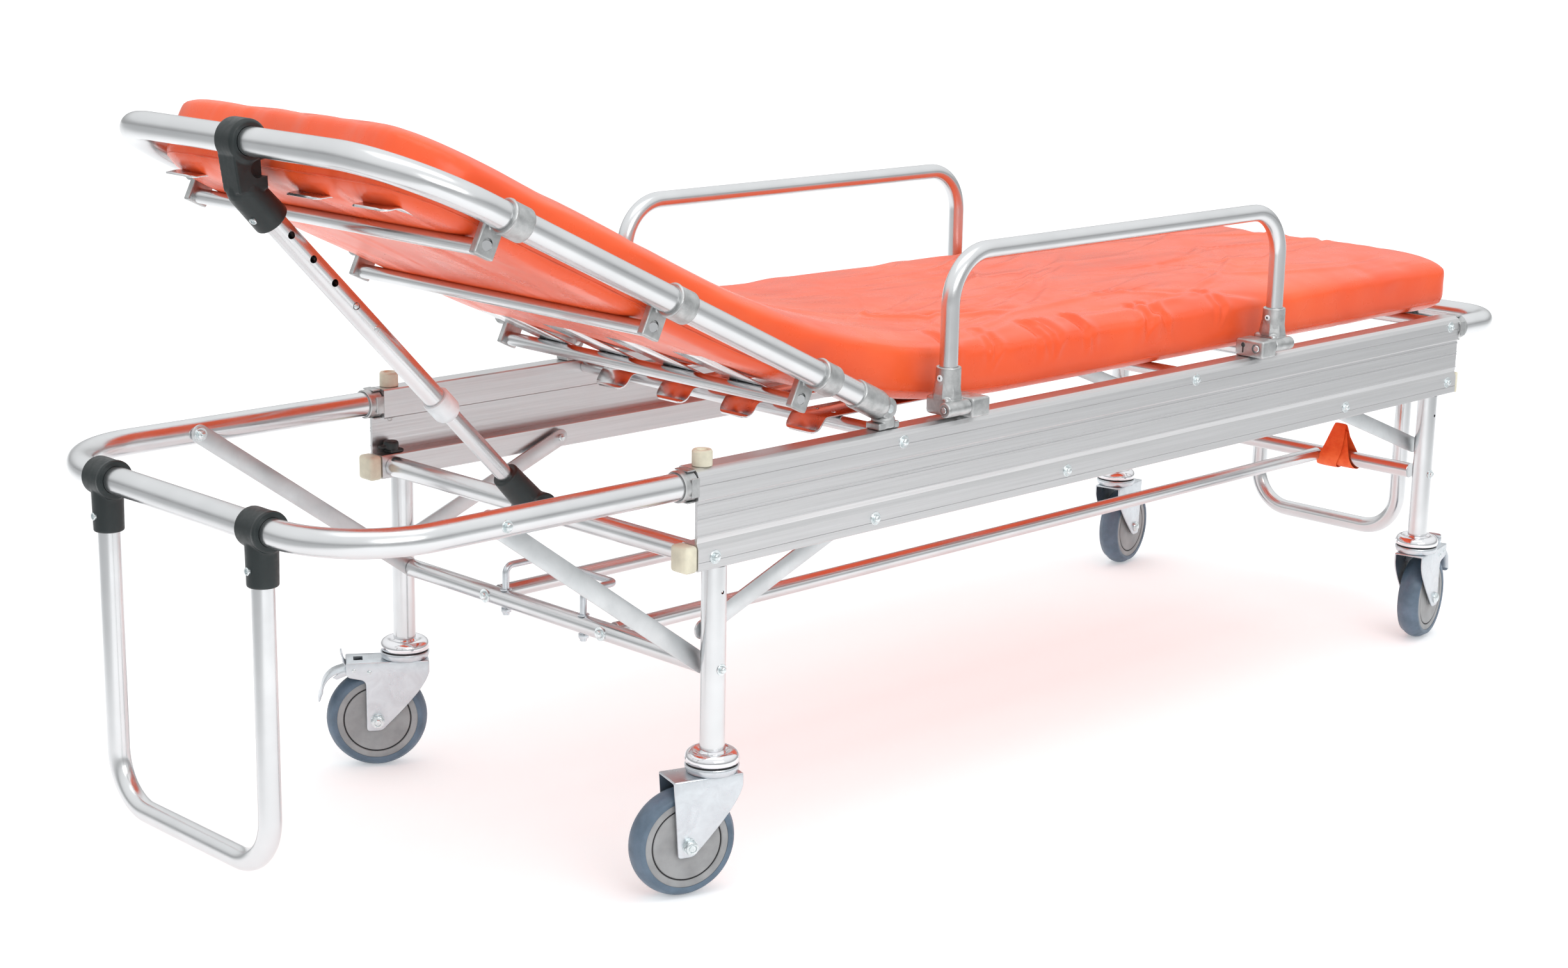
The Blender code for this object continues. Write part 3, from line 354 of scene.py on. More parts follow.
def piece(name, shape, look, body, replaces=(), angle=32, slot=None):
    """Makes a visible piece, moves it to the trolley's middle plane and sets what it rides on."""
    mesh = shape.mesh() if isinstance(shape, Shape) else shape
    mesh.transform(Matrix.Translation((0, MID, 0)))
    mesh.materials.clear()
    mesh.materials.append(look)
    mesh.shade_smooth()
    mesh.set_sharp_from_angle(angle=math.radians(angle))
    obj = bpy.data.objects.new(name, mesh)
    bpy.context.scene.collection.objects.link(obj)
    slot or SLOTS[look]
    if replaces:
        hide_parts(*replaces)
    if body:
        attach(obj, body)
    return obj


# ------------------------------------------------------------------ materials
class Look:
    """A small helper that lays out a Principled material's nodes."""

    def __init__(self, name, color, metallic=0.0, roughness=0.5):
        self.material = bpy.data.materials.new(name)
        self.material.use_nodes = True
        self.tree = self.material.node_tree
        self.shader = self.tree.nodes["Principled BSDF"]
        self.shader.inputs["Base Color"].default_value = (*color, 1.0)
        self.shader.inputs["Metallic"].default_value = metallic
        self.shader.inputs["Roughness"].default_value = roughness
        self.space = self.node("ShaderNodeTexCoord").outputs["Object"]

    def node(self, kind, **values):
        made = self.tree.nodes.new(kind)
        for key, value in values.items():
            if key in made.inputs:
                made.inputs[key].default_value = value
            else:
                setattr(made, key, value)
        return made

    def link(self, output, target):
        self.tree.links.new(output, target)

    def noise(self, scale, detail=4.0, stretch=(1, 1, 1), rough=0.55, distortion=0.0):
        mapping = self.node("ShaderNodeMapping", Scale=stretch)
        self.link(self.space, mapping.inputs["Vector"])
        values = {"Scale": scale, "Detail": detail, "Roughness": rough, "Distortion": distortion}
        texture = self.node("ShaderNodeTexNoise", **values)
        self.link(mapping.outputs["Vector"], texture.inputs["Vector"])
        return texture.outputs["Fac"]

    def ramp(self, source, *stops):
        ramp = self.node("ShaderNodeValToRGB")
        while len(ramp.color_ramp.elements) < len(stops):
            ramp.color_ramp.elements.new(0.5)
        for element, (at, color) in zip(ramp.color_ramp.elements, stops):
            element.position = at
            element.color = (*color, 1.0) if not isinstance(color, float) else (color, color, color, 1.0)
        self.link(source, ramp.inputs["Fac"])
        return ramp.outputs["Color"]

    def tint(self, source, *stops):
        self.link(self.ramp(source, *stops), self.shader.inputs["Base Color"])
        return self

    def rough(self, source, low, high):
        return self.spread(source, "Roughness", 0.35, 0.65, low, high)

    def spread(self, source, target, start, end, low, high, smooth="LINEAR"):
        """Maps the source between start and end to a shader input between low and high."""
        spread = self.node("ShaderNodeMapRange", interpolation_type=smooth)
        for key, value in (("From Min", start), ("From Max", end), ("To Min", low), ("To Max", high)):
            spread.inputs[key].default_value = value
        self.link(source, spread.inputs["Value"])
        self.link(spread.outputs["Result"], self.shader.inputs[target])
        return self

    def bump(self, source, depth, strength=1.0):
        bump = self.node("ShaderNodeBump", Distance=depth, Strength=strength)
        before = self.shader.inputs["Normal"].links
        if before:
            self.link(before[0].from_socket, bump.inputs["Normal"])
        self.link(source, bump.inputs["Height"])
        self.link(bump.outputs["Normal"], self.shader.inputs["Normal"])
        return self


def tube_look():
    """Drawn tube: bright satin, almost even, with faint scuffs."""
    look = Look("drawn_tube", (0.69, 0.70, 0.71), 1.0, 0.24)
    patches = look.noise(9.0, 3.0, (1, 1, 1), 0.55, 0.3)
    look.tint(patches, (0.36, (0.65, 0.66, 0.67)), (0.56, (0.69, 0.70, 0.71)), (0.72, (0.73, 0.74, 0.75)))
    look.rough(look.noise(30.0, 3.0), 0.21, 0.27)
    return look.bump(look.noise(90.0, 2.0), 0.00001).material


def extrusion_look():
    """Extruded rail: fine lines drawn along it."""
    look = Look("extruded_rail", (0.66, 0.66, 0.67), 1.0, 0.36)
    lines = look.noise(4.0, 6.0, (1.0, 90.0, 90.0), 0.7)
    look.tint(lines, (0.30, (0.60, 0.60, 0.605)), (0.52, (0.66, 0.66, 0.665)), (0.70, (0.70, 0.70, 0.71)))
    look.rough(look.noise(3.0, 5.0, (1.0, 140.0, 140.0)), 0.30, 0.40)
    return look.bump(lines, 0.00003).material


def slat_look():
    """Rolled flat bar: smooth enough to mirror what lies over it."""
    look = Look("rolled_flat_bar", (0.76, 0.76, 0.77), 1.0, 0.2)
    look.tint(look.noise(9.0, 5.0, (1, 1, 1), 0.6), (0.35, (0.68, 0.69, 0.70)), (0.65, (0.82, 0.82, 0.83)))
    look.rough(look.noise(30.0, 4.0), 0.14, 0.28)
    return look.bump(look.noise(120.0, 3.0), 0.00005).material


def brace_look():
    """Flat brace bar, duller, with scuffs left by handling."""
    look = Look("brace_bar", (0.66, 0.68, 0.69), 1.0, 0.4)
    scuffs = look.noise(24.0, 4.0, (1, 1, 1), 0.6, 0.5)
    look.tint(scuffs, (0.36, (0.58, 0.60, 0.61)), (0.66, (0.66, 0.68, 0.69)))
    look.rough(look.noise(30.0, 4.0), 0.32, 0.44)
    return look.bump(look.noise(320.0, 3.0), 0.00003).material


def cast_look():
    """Die casting: grey, slightly pitted."""
    look = Look("die_casting", (0.50, 0.51, 0.51), 1.0, 0.42)
    look.tint(look.noise(55.0, 5.0, (1, 1, 1), 0.65), (0.34, (0.40, 0.41, 0.41)), (0.66, (0.60, 0.61, 0.61)))
    look.rough(look.noise(90.0, 4.0), 0.32, 0.50)
    return look.bump(look.noise(500.0, 4.0), 0.00010).material


def zinc_look():
    """Zinc-plated pressing, cool grey with a cloudy spangle."""
    look = Look("zinc_plate", (0.66, 0.70, 0.73), 1.0, 0.3)
    spangle = look.noise(50.0, 4.0, (1, 1, 1), 0.6, 0.6)
    look.tint(spangle, (0.36, (0.58, 0.61, 0.64)), (0.64, (0.66, 0.70, 0.73)))
    look.rough(look.noise(50.0, 4.0), 0.26, 0.36)
    return look.bump(look.noise(260.0, 3.0), 0.00002).material


def chrome_look():
    look = Look("bright_plate", (0.80, 0.80, 0.82), 1.0, 0.1)
    look.rough(look.noise(60.0, 4.0), 0.06, 0.18)
    return look.bump(look.noise(90.0, 3.0), 0.00008).material


def bolt_look():
    look = Look("plated_bolt", (0.72, 0.77, 0.78), 1.0, 0.28)
    look.tint(look.noise(200.0, 3.0), (0.35, (0.62, 0.68, 0.69)), (0.65, (0.80, 0.84, 0.85)))
    return look.rough(look.noise(300.0, 3.0), 0.18, 0.36).material


def plastic_look(name, color, rough=(0.36, 0.52), grain=900.0, depth=0.00006):
    look = Look(name, color, 0.0, rough[0])
    low = tuple(c * 0.86 for c in color)
    high = tuple(min(1.0, c * 1.12) for c in color)
    look.tint(look.noise(40.0, 4.0), (0.35, low), (0.65, high))
    look.rough(look.noise(160.0, 4.0), *rough)
    return look.bump(look.noise(grain, 2.0), depth).material


def tyre_look():
    """Grey rubber tread, patchy with dust."""
    look = Look("tyre_rubber", (0.10, 0.15, 0.21), 0.0, 0.45)
    dust = look.noise(34.0, 5.0, (1, 1, 1), 0.6)
    look.tint(dust, (0.32, (0.075, 0.115, 0.16)), (0.68, (0.125, 0.18, 0.245)))
    look.rough(look.noise(80.0, 4.0), 0.34, 0.52)
    return look.bump(look.noise(700.0, 3.0), 0.00005).material


def vinyl_look():
    """Coated mattress cover: saturated orange with a soft gloss, fine grain and long soft creases."""
    look = Look("coated_cover", (0.94, 0.110, 0.026), 0.0, 0.34)
    shade = look.noise(3.2, 5.0, (1, 1, 1), 0.6, 0.4)
    worn, plain, faded = (0.88, 0.090, 0.021), (0.95, 0.112, 0.027), (0.98, 0.140, 0.040)
    look.tint(shade, (0.30, worn), (0.50, plain), (0.72, faded))
    look.rough(look.noise(14.0, 5.0), 0.24, 0.34)
    look.shader.inputs["Specular IOR Level"].default_value = 0.45
    look.bump(look.noise(3.6, 1.5, (0.8, 3.4, 1.0), 0.4, 0.9), 0.0110, 0.8)
    return look.bump(look.noise(1500.0, 2.0), 0.00004).material


def webbing_look():
    """Woven strap: fine ribs across a saturated orange."""
    look = Look("woven_strap", (0.88, 0.12, 0.02), 0.0, 0.6)
    wave = look.node("ShaderNodeTexWave", Scale=420.0, Distortion=0.6)
    look.link(look.space, wave.inputs["Vector"])
    look.tint(look.noise(60.0, 4.0), (0.35, (0.88, 0.11, 0.016)), (0.65, (0.98, 0.17, 0.035)))
    return look.bump(wave.outputs["Fac"], 0.0002, 0.6).material


TUBE, RAIL, SLAT, BRACE, CAST = tube_look(), extrusion_look(), slat_look(), brace_look(), cast_look()
ZINC, CHROME, BOLT = zinc_look(), chrome_look(), bolt_look()
BLACK = plastic_look("black_nylon", (0.011, 0.018, 0.019), (0.36, 0.50))
IVORY = plastic_look("ivory_nylon", (0.70, 0.66, 0.52), (0.38, 0.52), 500.0)
BUSH = plastic_look("bush_nylon", (0.72, 0.75, 0.77), (0.30, 0.44), 500.0)
HUB = plastic_look("hub_plastic", (0.30, 0.305, 0.31), (0.36, 0.52), 600.0)
# painted shade: a near-black laid inside gaps, grooves and holes, where shade falls
PAINTED_SHADE = plastic_look("dark_gap", (0.012, 0.012, 0.014), (0.55, 0.70), 400.0)
TYRE, VINYL, WEBBING = tyre_look(), vinyl_look(), webbing_look()
VINYL_SEAM = plastic_look("welt", (0.84, 0.105, 0.030), (0.30, 0.42), 700.0)
SLOTS = {
    TUBE: "aluminium_tube", SLAT: "aluminium_tube", RAIL: "extruded_aluminium", BRACE: "extruded_aluminium",
    CAST: "cast_alloy", ZINC: "zinc_plate", CHROME: "zinc_plate", BOLT: "zinc_plate", BLACK: "black_nylon",
    PAINTED_SHADE: "black_nylon", IVORY: "white_nylon", BUSH: "white_nylon", TYRE: "caster_wheel",
    HUB: "caster_wheel", VINYL: "vinyl", VINYL_SEAM: "vinyl", WEBBING: "webbing",
}


# ------------------------------------------------------------------ fasteners
def hex_outline(radius):
    return arc((0, 0), radius, 0, 300, 5)


def aimed(origin, axis):
    """A matrix that takes +Z to the axis and the origin to the given point."""
    return Matrix.Translation(origin) @ Vector(axis).to_track_quat("Z", "Y").to_matrix().to_4x4()


def add_bolt(shape, origin, axis, radius=0.0052, washer=0.0085, nut=False):
    """A washer with a domed bolt head on it, or with a nut and the bolt's end."""
    origin, axis = Vector(origin), Vector(axis).normalized()
    hole, thick, soft = 0.0015, 0.0012, 0.0003
    rim = [(hole, 0), (washer, 0), (washer, thick), (washer - 0.0004, thick + soft), (hole, thick + soft)]
    shape.lathe(rim, origin, axis, 24)
    part = Shape()
    if nut:
        part.prism(hex_outline(radius * 1.12), 0.0, 0.0045, "XY", 0.0004)
        thread = [(radius * 0.62, 0.003), (radius * 0.62, 0.0068), (radius * 0.45, 0.0075)]
        part.lathe(thread, ORIGIN, UP, 16)
    else:
        part.prism(hex_outline(radius * 1.02), 0.0, 0.0026, "XY", 0.0004)
        dome = [(radius * 0.92, 0.0020), (radius * 0.86, 0.0034), (radius * 0.62, 0.0045), (TIP, 0.0049)]
        part.lathe(dome, ORIGIN, UP, 20)
    shape.join(part.move(aimed(origin + axis * thick, axis)))
    return shape


def screw(shape, origin, axis, radius=0.0038):
    """A socket-head screw with its recess."""
    profile = [
        (radius, 0), (radius, 0.0020), (radius * 0.85, 0.0027), (radius * 0.52, 0.0027),
        (radius * 0.46, 0.0010), (TIP, 0.0009),
    ]
    return shape.lathe(profile, origin, axis, 20)


def rivet(shape, origin, axis, radius=0.0034):
    profile = [(radius, 0), (radius * 0.9, 0.0009), (radius * 0.5, 0.0016), (TIP, 0.0018)]
    return shape.lathe(profile, origin, axis, 16)


# ------------------------------------------------------------------ side rails and loops
def rail_section(side):
    """The extrusion's outline: top box, ribbed web with a step, sloped ledge and lower box."""
    outer, inner = RAIL_OUTER, RAIL_INNER
    face, web = outer - 0.0020, outer - 0.0058
    low_inner = outer - LOWER_BOX_DEPTH
    top, low = RAIL_TOP, RAIL_BOTTOM

    def rib(z, height=0.0009, width=0.0022):
        return [(face, z - width / 2), (face + height, z - width / 4),
                (face + height, z + width / 4), (face, z + width / 2)]

    def groove(y, z, depth=0.0006, width=0.0010):
        return [(y, z - width / 2), (y - depth, z), (y, z + width / 2)]

    points = [(outer - 0.0008, low), (outer, low + 0.0008)]
    points += groove(outer, low + 0.0095)
    points += [(outer, low + 0.0245), (face - 0.0008, low + 0.0308)]
    for z in (low + 0.038, low + 0.0565, low + 0.0600, low + 0.0730):
        points += rib(z)
    points += [(face, low + 0.0765), (outer - 0.0006, low + 0.0785)]
    points += groove(outer - 0.0006, low + 0.0940)
    points += [(outer - 0.0006, top - 0.0080), (outer - 0.0030, top - 0.0032), (outer - 0.0066, top - 0.0006)]
    points += [(outer - 0.0082, top)]
    points += [(inner + 0.0015, top), (inner, top - 0.0015)]
    points += [(inner, top - 0.0345), (inner + 0.0015, top - 0.036)]
    points += [(web, top - 0.036), (web, low + 0.029), (low_inner + 0.0012, low + 0.029)]
    points += [(low_inner, low + 0.0278), (low_inner, low + 0.0012), (low_inner + 0.0012, low)]
    return [(side * y, z) for y, z in points]


# where bolts come through each rail's outer face: x from the rail's head end, z
RAIL_BOLTS = (
    (0.320, 0.471), (0.275, 0.388), (0.025, 0.387), (0.875, 0.473),
    (0.618, 0.392), (1.226, 0.390), (1.489, 0.473), (1.489, 0.3915),
)


def make_rails():
    for label, side in SIDES:
        rail = Shape().prism(rail_section(side), RAIL_HEAD, RAIL_FOOT, "YZ")
        piece(f"rail_{label}", rail, RAIL, "frame", [f"side_rail_{label}"], 20)
        bolts = Shape()
        for along, z in RAIL_BOLTS:
            y = RAIL_OUTER - (0.0012 if z > 0.45 else 0.0004)
            add_bolt(bolts, (RAIL_HEAD + along, side * y, z), (0, side, 0), 0.0046, 0.0078)
        for along in (0.275, 1.226):
            brace_face = (RAIL_HEAD + along, side * (RAIL_OUTER - LOWER_BOX_DEPTH - 0.0052), 0.3885)
            add_bolt(bolts, brace_face, (0, -side, 0), 0.0046, 0.0078, nut=True)
        piece(f"rail_bolts_{label}", bolts, BOLT, "frame")
        make_rail_trim(label, side)


def make_rail_trim(label, side):
    """Bumper on the rail's head end and plastic caps in the open ends of its lower box."""
    profile = [
        (0.0095, 0), (0.0113, 0.0008), (0.0113, 0.0160), (0.0100, 0.0180), (0.0068, 0.0180),
        (0.0055, 0.0155), (TIP, 0.0150),
    ]
    stop = Shape().lathe(profile, (RAIL_HEAD + 0.019, side * 0.2795, RAIL_TOP - 0.0002), UP, 40)
    piece(f"rest_bumper_{label}", stop, IVORY, "frame")
    outer, inner = RAIL_OUTER + CAP_LIP, RAIL_OUTER - LOWER_BOX_DEPTH - CAP_LIP
    low, high = RAIL_BOTTOM - 0.0006, RAIL_BOTTOM + 0.0294
    for end, x, way in (("head", RAIL_HEAD, -1), ("foot", RAIL_FOOT, 1)):
        depth = 0.0175 if end == "head" else 0.006
        near, far = sorted((x + way * 0.0002, x + way * depth))
        y_low, y_high = sorted((side * inner, side * outer))
        cap = Shape().box((near, y_low, low), (far, y_high, high), 0.0042 if end == "head" else 0.002, 4)
        piece(f"rail_cap_{end}_{label}", cap, IVORY, "frame")


def make_loops():
    for end, way in ENDS:
        rail_x = RAIL_HEAD if end == "head" else RAIL_FOOT
        start = rail_x + way * GAP
        corners = [
            (start, -LOOP_Y, LOOP_Z), (LOOP_X[end], -LOOP_Y, LOOP_Z),
            (LOOP_X[end], LOOP_Y, LOOP_Z), (start, LOOP_Y, LOOP_Z),
        ]
        loop = Shape().tube(smooth_path(corners, LOOP_BEND[end], 18), LOOP_R, 40)
        piece(f"carrying_loop_{end}", loop, TUBE, "frame", [f"{end}_loop"])
        for label, side in SIDES:
            make_loop_sleeve(end, way, rail_x, label, side)


def make_loop_sleeve(end, way, rail_x, label, side):
    """The cast sleeve where a loop enters its rail: a ring that ends in a squarer collar."""
    y = side * LOOP_Y
    profile = [
        (LOOP_R + 0.0002, 0.0180), (LOOP_R + 0.0016, 0.0188), (LOOP_R + 0.0026, 0.0175),
        (LOOP_R + 0.0026, 0.0010), (LOOP_R + 0.0014, 0.0), (LOOP_R + 0.0002, 0.0),
    ]
    sleeve = Shape().lathe(profile, (rail_x + way * 0.0010, y, LOOP_Z), (way, 0, 0), 40, ring=True)
    for turn in (0, 90, 180, 270):
        flat = Shape().box((0.0008, -0.0105, LOOP_R + 0.0012), (0.0118, 0.0105, LOOP_R + 0.0031), 0.0008, 3)
        flat.move(Matrix.Rotation(math.radians(turn), 4, "X"))
        flat.move(Matrix.Translation((rail_x, y, LOOP_Z)) @ Matrix.Diagonal((way, 1, 1, 1)))
        sleeve.join(flat)
    under = (rail_x - way * 0.017, side * (RAIL_INNER + 0.013), RAIL_TOP - 0.0365)
    add_bolt(sleeve, under, (0, 0, -1), 0.0036, 0.006)
    piece(f"loop_sleeve_{end}_{label}", sleeve, CAST, "frame")


# ------------------------------------------------------------------ legs, tubes and braces
def make_legs():
    for end in ("head", "foot"):
        for label, side in SIDES:
            name = f"{end}_{label}"
            x, y = LEG_X[end], side * LEG_Y
            path = [(x, y, z) for z in (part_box(f"leg_{name}")[0][2], 0.24, RAIL_BOTTOM - GAP)]
            leg = Shape().tube(path, LEG_R, 40, 0.0018)
            holes = [
                disc((x, y + side * 0.005, 0.345), (0, side, 0), 0.0021, 0.02, 16),
                disc((x + 0.005, y, 0.341), (1, 0, 0), 0.0021, 0.02, 16),
            ]
            piece(f"leg_tube_{name}", cut(leg.mesh(), *holes), TUBE, "frame", [f"leg_{name}"])
            bolts = add_bolt(Shape(), (x, y + side * (LEG_R - 0.0008), LOW_Z), (0, side, 0), 0.0042, 0.0066)
            brace_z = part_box(f"leg_brace_{name}")[0][2] + BRACE_HALF
            inner = side * (LEG_Y - LEG_R - 0.0052)
            add_bolt(bolts, (x, inner, brace_z), (0, -side, 0), 0.0042, 0.0072, True)
            piece(f"leg_bolts_{name}", bolts, BOLT, "frame")


def make_cross_tubes():
    spots = {
        "upper_cross_tube_head": 0.0125, "upper_cross_tube_foot": 0.0125,
        "lower_cross_tube_head": 0.0110, "lower_cross_tube_foot": 0.0110,
        "floor_rail_right": 0.0095, "floor_rail_left": 0.0095,
    }
    for node, radius in spots.items():
        low, high = middle_box(node)
        middle = (low + high) / 2
        along = 0 if high.x - low.x > high.y - low.y else 1
        start, end = middle.copy(), middle.copy()
        start[along], end[along] = low[along], high[along]
        tube = Shape().tube([start, middle, end], radius, 36)
        piece(node.replace("_tube", "_bar"), tube, TUBE, "frame", [node])
    bolts = Shape()
    for end, way in ENDS:
        for y in (-0.105, 0.105):
            add_bolt(bolts, (LEG_X[end] + way * 0.0104, y, LOW_Z), (way, 0, 0), 0.0052, 0.0086)
    piece("floor_rail_bolts", bolts, BOLT, "frame")


def make_braces():
    """Flat bars with round ends, from the loops and the legs up to the rails, and their bolts."""
    for label, side in SIDES:
        bolts = Shape()
        x, y = RAIL_HEAD - 0.258, side * (LOOP_Y - LOOP_R)
        add_bolt(bolts, (x, y - side * 0.0035, LOOP_Z), (0, -side, 0), 0.0048, 0.0085, nut=True)
        add_bolt(bolts, (x, side * (LOOP_Y + LOOP_R - 0.0010), LOOP_Z), (0, side, 0), 0.0044, 0.0068)
        add_bolt(bolts, (LEG_X["head"], side * 0.2612, LOW_Z), (0, -side, 0), 0.0044, 0.0075, nut=True)
        piece(f"brace_bolts_{label}", bolts, BOLT, "frame")
        for node in ("loop_brace", "leg_brace_head", "leg_brace_foot"):
            low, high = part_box(f"{node}_{label}")
            flat = Shape().prism(brace_outline(node, low, high), low[1] - MID, high[1] - MID, "XZ", 0.0005, 2)
            name = f"{node}_bar_{label}"
            piece(name, flat, BRACE, "frame", [f"{node}_{label}"], 40)


def brace_outline(node, low, high):
    """A flat bar with round ends, set across its box from corner to corner."""
    rising = node == "leg_brace_head"
    a = Vector((low[0] + BRACE_HALF, low[2] + BRACE_HALF if rising else high[2] - BRACE_HALF))
    b = Vector((high[0] - BRACE_HALF, high[2] - BRACE_HALF if rising else low[2] + BRACE_HALF))
    heading = math.degrees(math.atan2(b.y - a.y, b.x - a.x))
    turn = arc(b, BRACE_HALF, heading - 90, heading + 90, 16)
    return turn + arc(a, BRACE_HALF, heading + 90, heading + 270, 16)


def make_catch_hoop():
    low, high = middle_box("catch_hoop")
    r = 0.0042
    x, top, reach = low.x + r, high.z - r, high.x - r
    foot = LOW_Z - 0.020
    corners = [
        (x, high.y - r, foot), (x, high.y - r, top), (reach, high.y - r, top),
        (reach, low.y + r, top), (x, low.y + r, top), (x, low.y + r, foot),
    ]
    hoop = Shape().tube(smooth_path(corners, 0.010, 8), r, 24)
    for y in (low.y + r, high.y - r):
        nut = Shape().prism(hex_outline(0.0066), 0.0, 0.005, "XY", 0.0005)
        hoop.join(nut.move(Matrix.Translation((x, y, LOW_Z - 0.0165))))
        washer = [(0.0043, 0), (0.0072, 0), (0.0072, 0.0012), (0.0043, 0.0012)]
        hoop.lathe(washer, (x, y, LOW_Z + 0.0108), UP, 24)
    piece("lock_hoop", hoop, ZINC, "frame", ["catch_hoop"])


def make_ledge_knob():
    """The small latch knob on the left rail's ledge."""
    x, y, z = RAIL_HEAD + 0.021, RAIL_OUTER - 0.0162, RAIL_BOTTOM + 0.0292
    knob = Shape().box((x - 0.006, y - 0.008, z), (x + 0.013, y + 0.008, z + 0.005), 0.0015, 3)
    knob.lathe([(0.0085, 0.004), (0.0095, 0.006), (0.0095, 0.0125), (0.0080, 0.0145), (TIP, 0.0148)],
               (x - 0.001, y, z), UP, 32)
    knob.box((x - 0.018, y - 0.0035, z + 0.006), (x - 0.006, y + 0.0035, z + 0.0105), 0.0012, 3)
    piece("ledge_knob", moulded(knob, 0.0008, 3), BLACK, "frame", angle=180)


# ------------------------------------------------------------------ deck
def slat_profile(x_start, x_end, z, tab, drop):
    """A slat's centre line seen from the side, with its head end curled down in an S."""
    points = [Vector((x_end, 0, z)), Vector((x_start + 0.004, 0, z))]
    for i in range(1, 9):
        t = i / 8
        ease = t * t * (3 - 2 * t)
        points.append(Vector((x_start + 0.004 - tab * t, 0, z - drop * ease)))
    return points


def slat_shape(path, y, half, thick=0.0024, corner=0.012):
    """A flat bar along the path, with rounded corners at its tab end and softened long edges."""
    shape = Shape()
    soft, last = 0.0006, path[-1]
    rings = []
    for i, point in enumerate(path):
        ahead, behind = path[min(i + 1, len(path) - 1)], path[max(i - 1, 0)]
        tangent = (ahead - behind).normalized()
        normal = Vector((-tangent.z, 0, tangent.x))
        if normal.z < 0:
            normal = -normal
        left = (last - point).length
        width = half
        if left < corner:
            width = half - corner + math.sqrt(max(corner ** 2 - (corner - left) ** 2, 0))
        up = normal * (thick / 2)
        spots = (y - width, y - width + soft, y + width - soft, y + width)
        a, b, c, d = (Vector((point.x, spot, point.z)) for spot in spots)
        rings.append([a - up * 0.5, a + up * 0.5, b + up, c + up, d + up * 0.5, d - up * 0.5, c - up, b - up])
    shape._rings(rings)
    return shape


def fine_path(path, steps=(0.2, 0.5, 0.8)):
    """Adds points near the path's end, so that rounded corners come out round."""
    a, b = path[-2], path[-1]
    return path[:-1] + [a.lerp(b, t) for t in steps] + [b]


def make_deck():
    high = middle_box("deck_slat_frame")[1]
    cross_x = (RAIL_HEAD + 0.318, RAIL_HEAD + 0.875, RAIL_HEAD + 1.480)
    reach, top = RAIL_INNER - GAP, high.z
    slats, rivets, bars = Shape(), Shape(), Shape()
    cross_z = top - 0.0024 - CROSS_R
    for x in cross_x:
        bars.tube([(x, y, cross_z) for y in (-reach, 0, reach)], CROSS_R, 32)
    for y in SLAT_Y:
        path = slat_profile(RAIL_HEAD + 0.290, high.x - 0.0005, top - 0.0012, 0.019, 0.0172)
        slats.join(slat_shape(fine_path(path), y, SLAT_HALF))
        for x in cross_x:
            for offset in RIVET_OFFSETS:
                rivet(rivets, (x, y + offset, top - 0.0001), UP, 0.0030)
    piece("deck_bars", bars, TUBE, "frame", ["deck_slat_frame"])
    piece("deck_slats", slats, SLAT, "frame", ["deck_slat_frame"], 50)
    piece("deck_rivets", rivets, BOLT, "frame")


# ------------------------------------------------------------------ backrest
def back_point(along, up=0.0, y=0.0):
    """A point of the backrest: along its side tubes from the hinge pin, and above their plane."""
    c, s = math.cos(BACK_TILT), math.sin(BACK_TILT)
    return Vector((HINGE_X - c * along + s * up, y, HINGE_Z + s * along + c * up))


def back_matrix(along, y, up=0.0):
    """Axes of the backrest: X towards its head end, Y across, Z up from the side tubes' plane."""
    c, s = math.cos(BACK_TILT), math.sin(BACK_TILT)
    turn = Matrix(((-c, 0, s), (0, 1, 0), (s, 0, c))).to_4x4()
    return Matrix.Translation(back_point(along, up, y)) @ turn


def make_hinges():
    """Each side's cast base and eye, its pin, and the forked knuckle on the side tube's end."""
    for label, side in SIDES:
        y = side * BACK_Y
        base = Shape().box((HINGE_X - 0.016, y - 0.0115, RAIL_TOP + GAP),
                           (HINGE_X + 0.018, y + 0.0105, RAIL_TOP + 0.0085), 0.0016, 3)
        post = [(0.0138, 0), (0.0138, 0.0095), (0.0122, 0.0125), (TIP, 0.0128)]
        base.lathe(post, (HINGE_X + 0.002, y, RAIL_TOP + 0.002), UP, 40)
        base.box((HINGE_X - 0.0075, y - 0.0058, RAIL_TOP + 0.004),
                 (HINGE_X + 0.0085, y + 0.0058, HINGE_Z), 0.0008)
        base.rod(*across_ends(HINGE_X, y, HINGE_Z, 0.0064), 0.0110)
        mesh = moulded(base, 0.0007, 3)
        piece(f"hinge_base_{label}", mesh, CAST, "frame", [f"backrest_hinge_{label}"], 180)

        pin = Shape().rod(*across_ends(HINGE_X, y, HINGE_Z, 0.0135), 0.0039, 24)
        knuckle = Shape().rod(back_point(0.0125, 0, y), back_point(0.051, 0, y), 0.0173, 40, 0.0014)
        knuckle.ball(back_point(0.0125, 0, y), 0.0173)
        for way in (-1, 1):
            near, far = y + way * 0.0070, y + way * 0.0122
            rivet_head = [(0.0054, 0), (0.0050, 0.0012), (TIP, 0.0016)]
            pin.lathe(rivet_head, (HINGE_X, far, HINGE_Z), (0, way, 0), 24)
            knuckle.rod((HINGE_X, near, HINGE_Z), (HINGE_X, far, HINGE_Z), 0.0128, 40, 0.0012)
        piece(f"hinge_pin_{label}", pin, BOLT, "frame")
        slot = bore(*across_ends(HINGE_X, y, HINGE_Z, 0.0069), 0.0122)
        corners = [(-0.0122, 0.0), (0.0122, 0.0), (0.0150, -0.0250), (-0.0190, -0.0250)]
        mouth = Shape().prism([(HINGE_X + a, HINGE_Z + b) for a, b in corners], y - 0.00685, y + 0.00685)
        mesh = moulded(knuckle, 0.0007, 3, [slot, mouth])
        piece(f"hinge_knuckle_{label}", mesh, CAST, "backrest", (), 40)


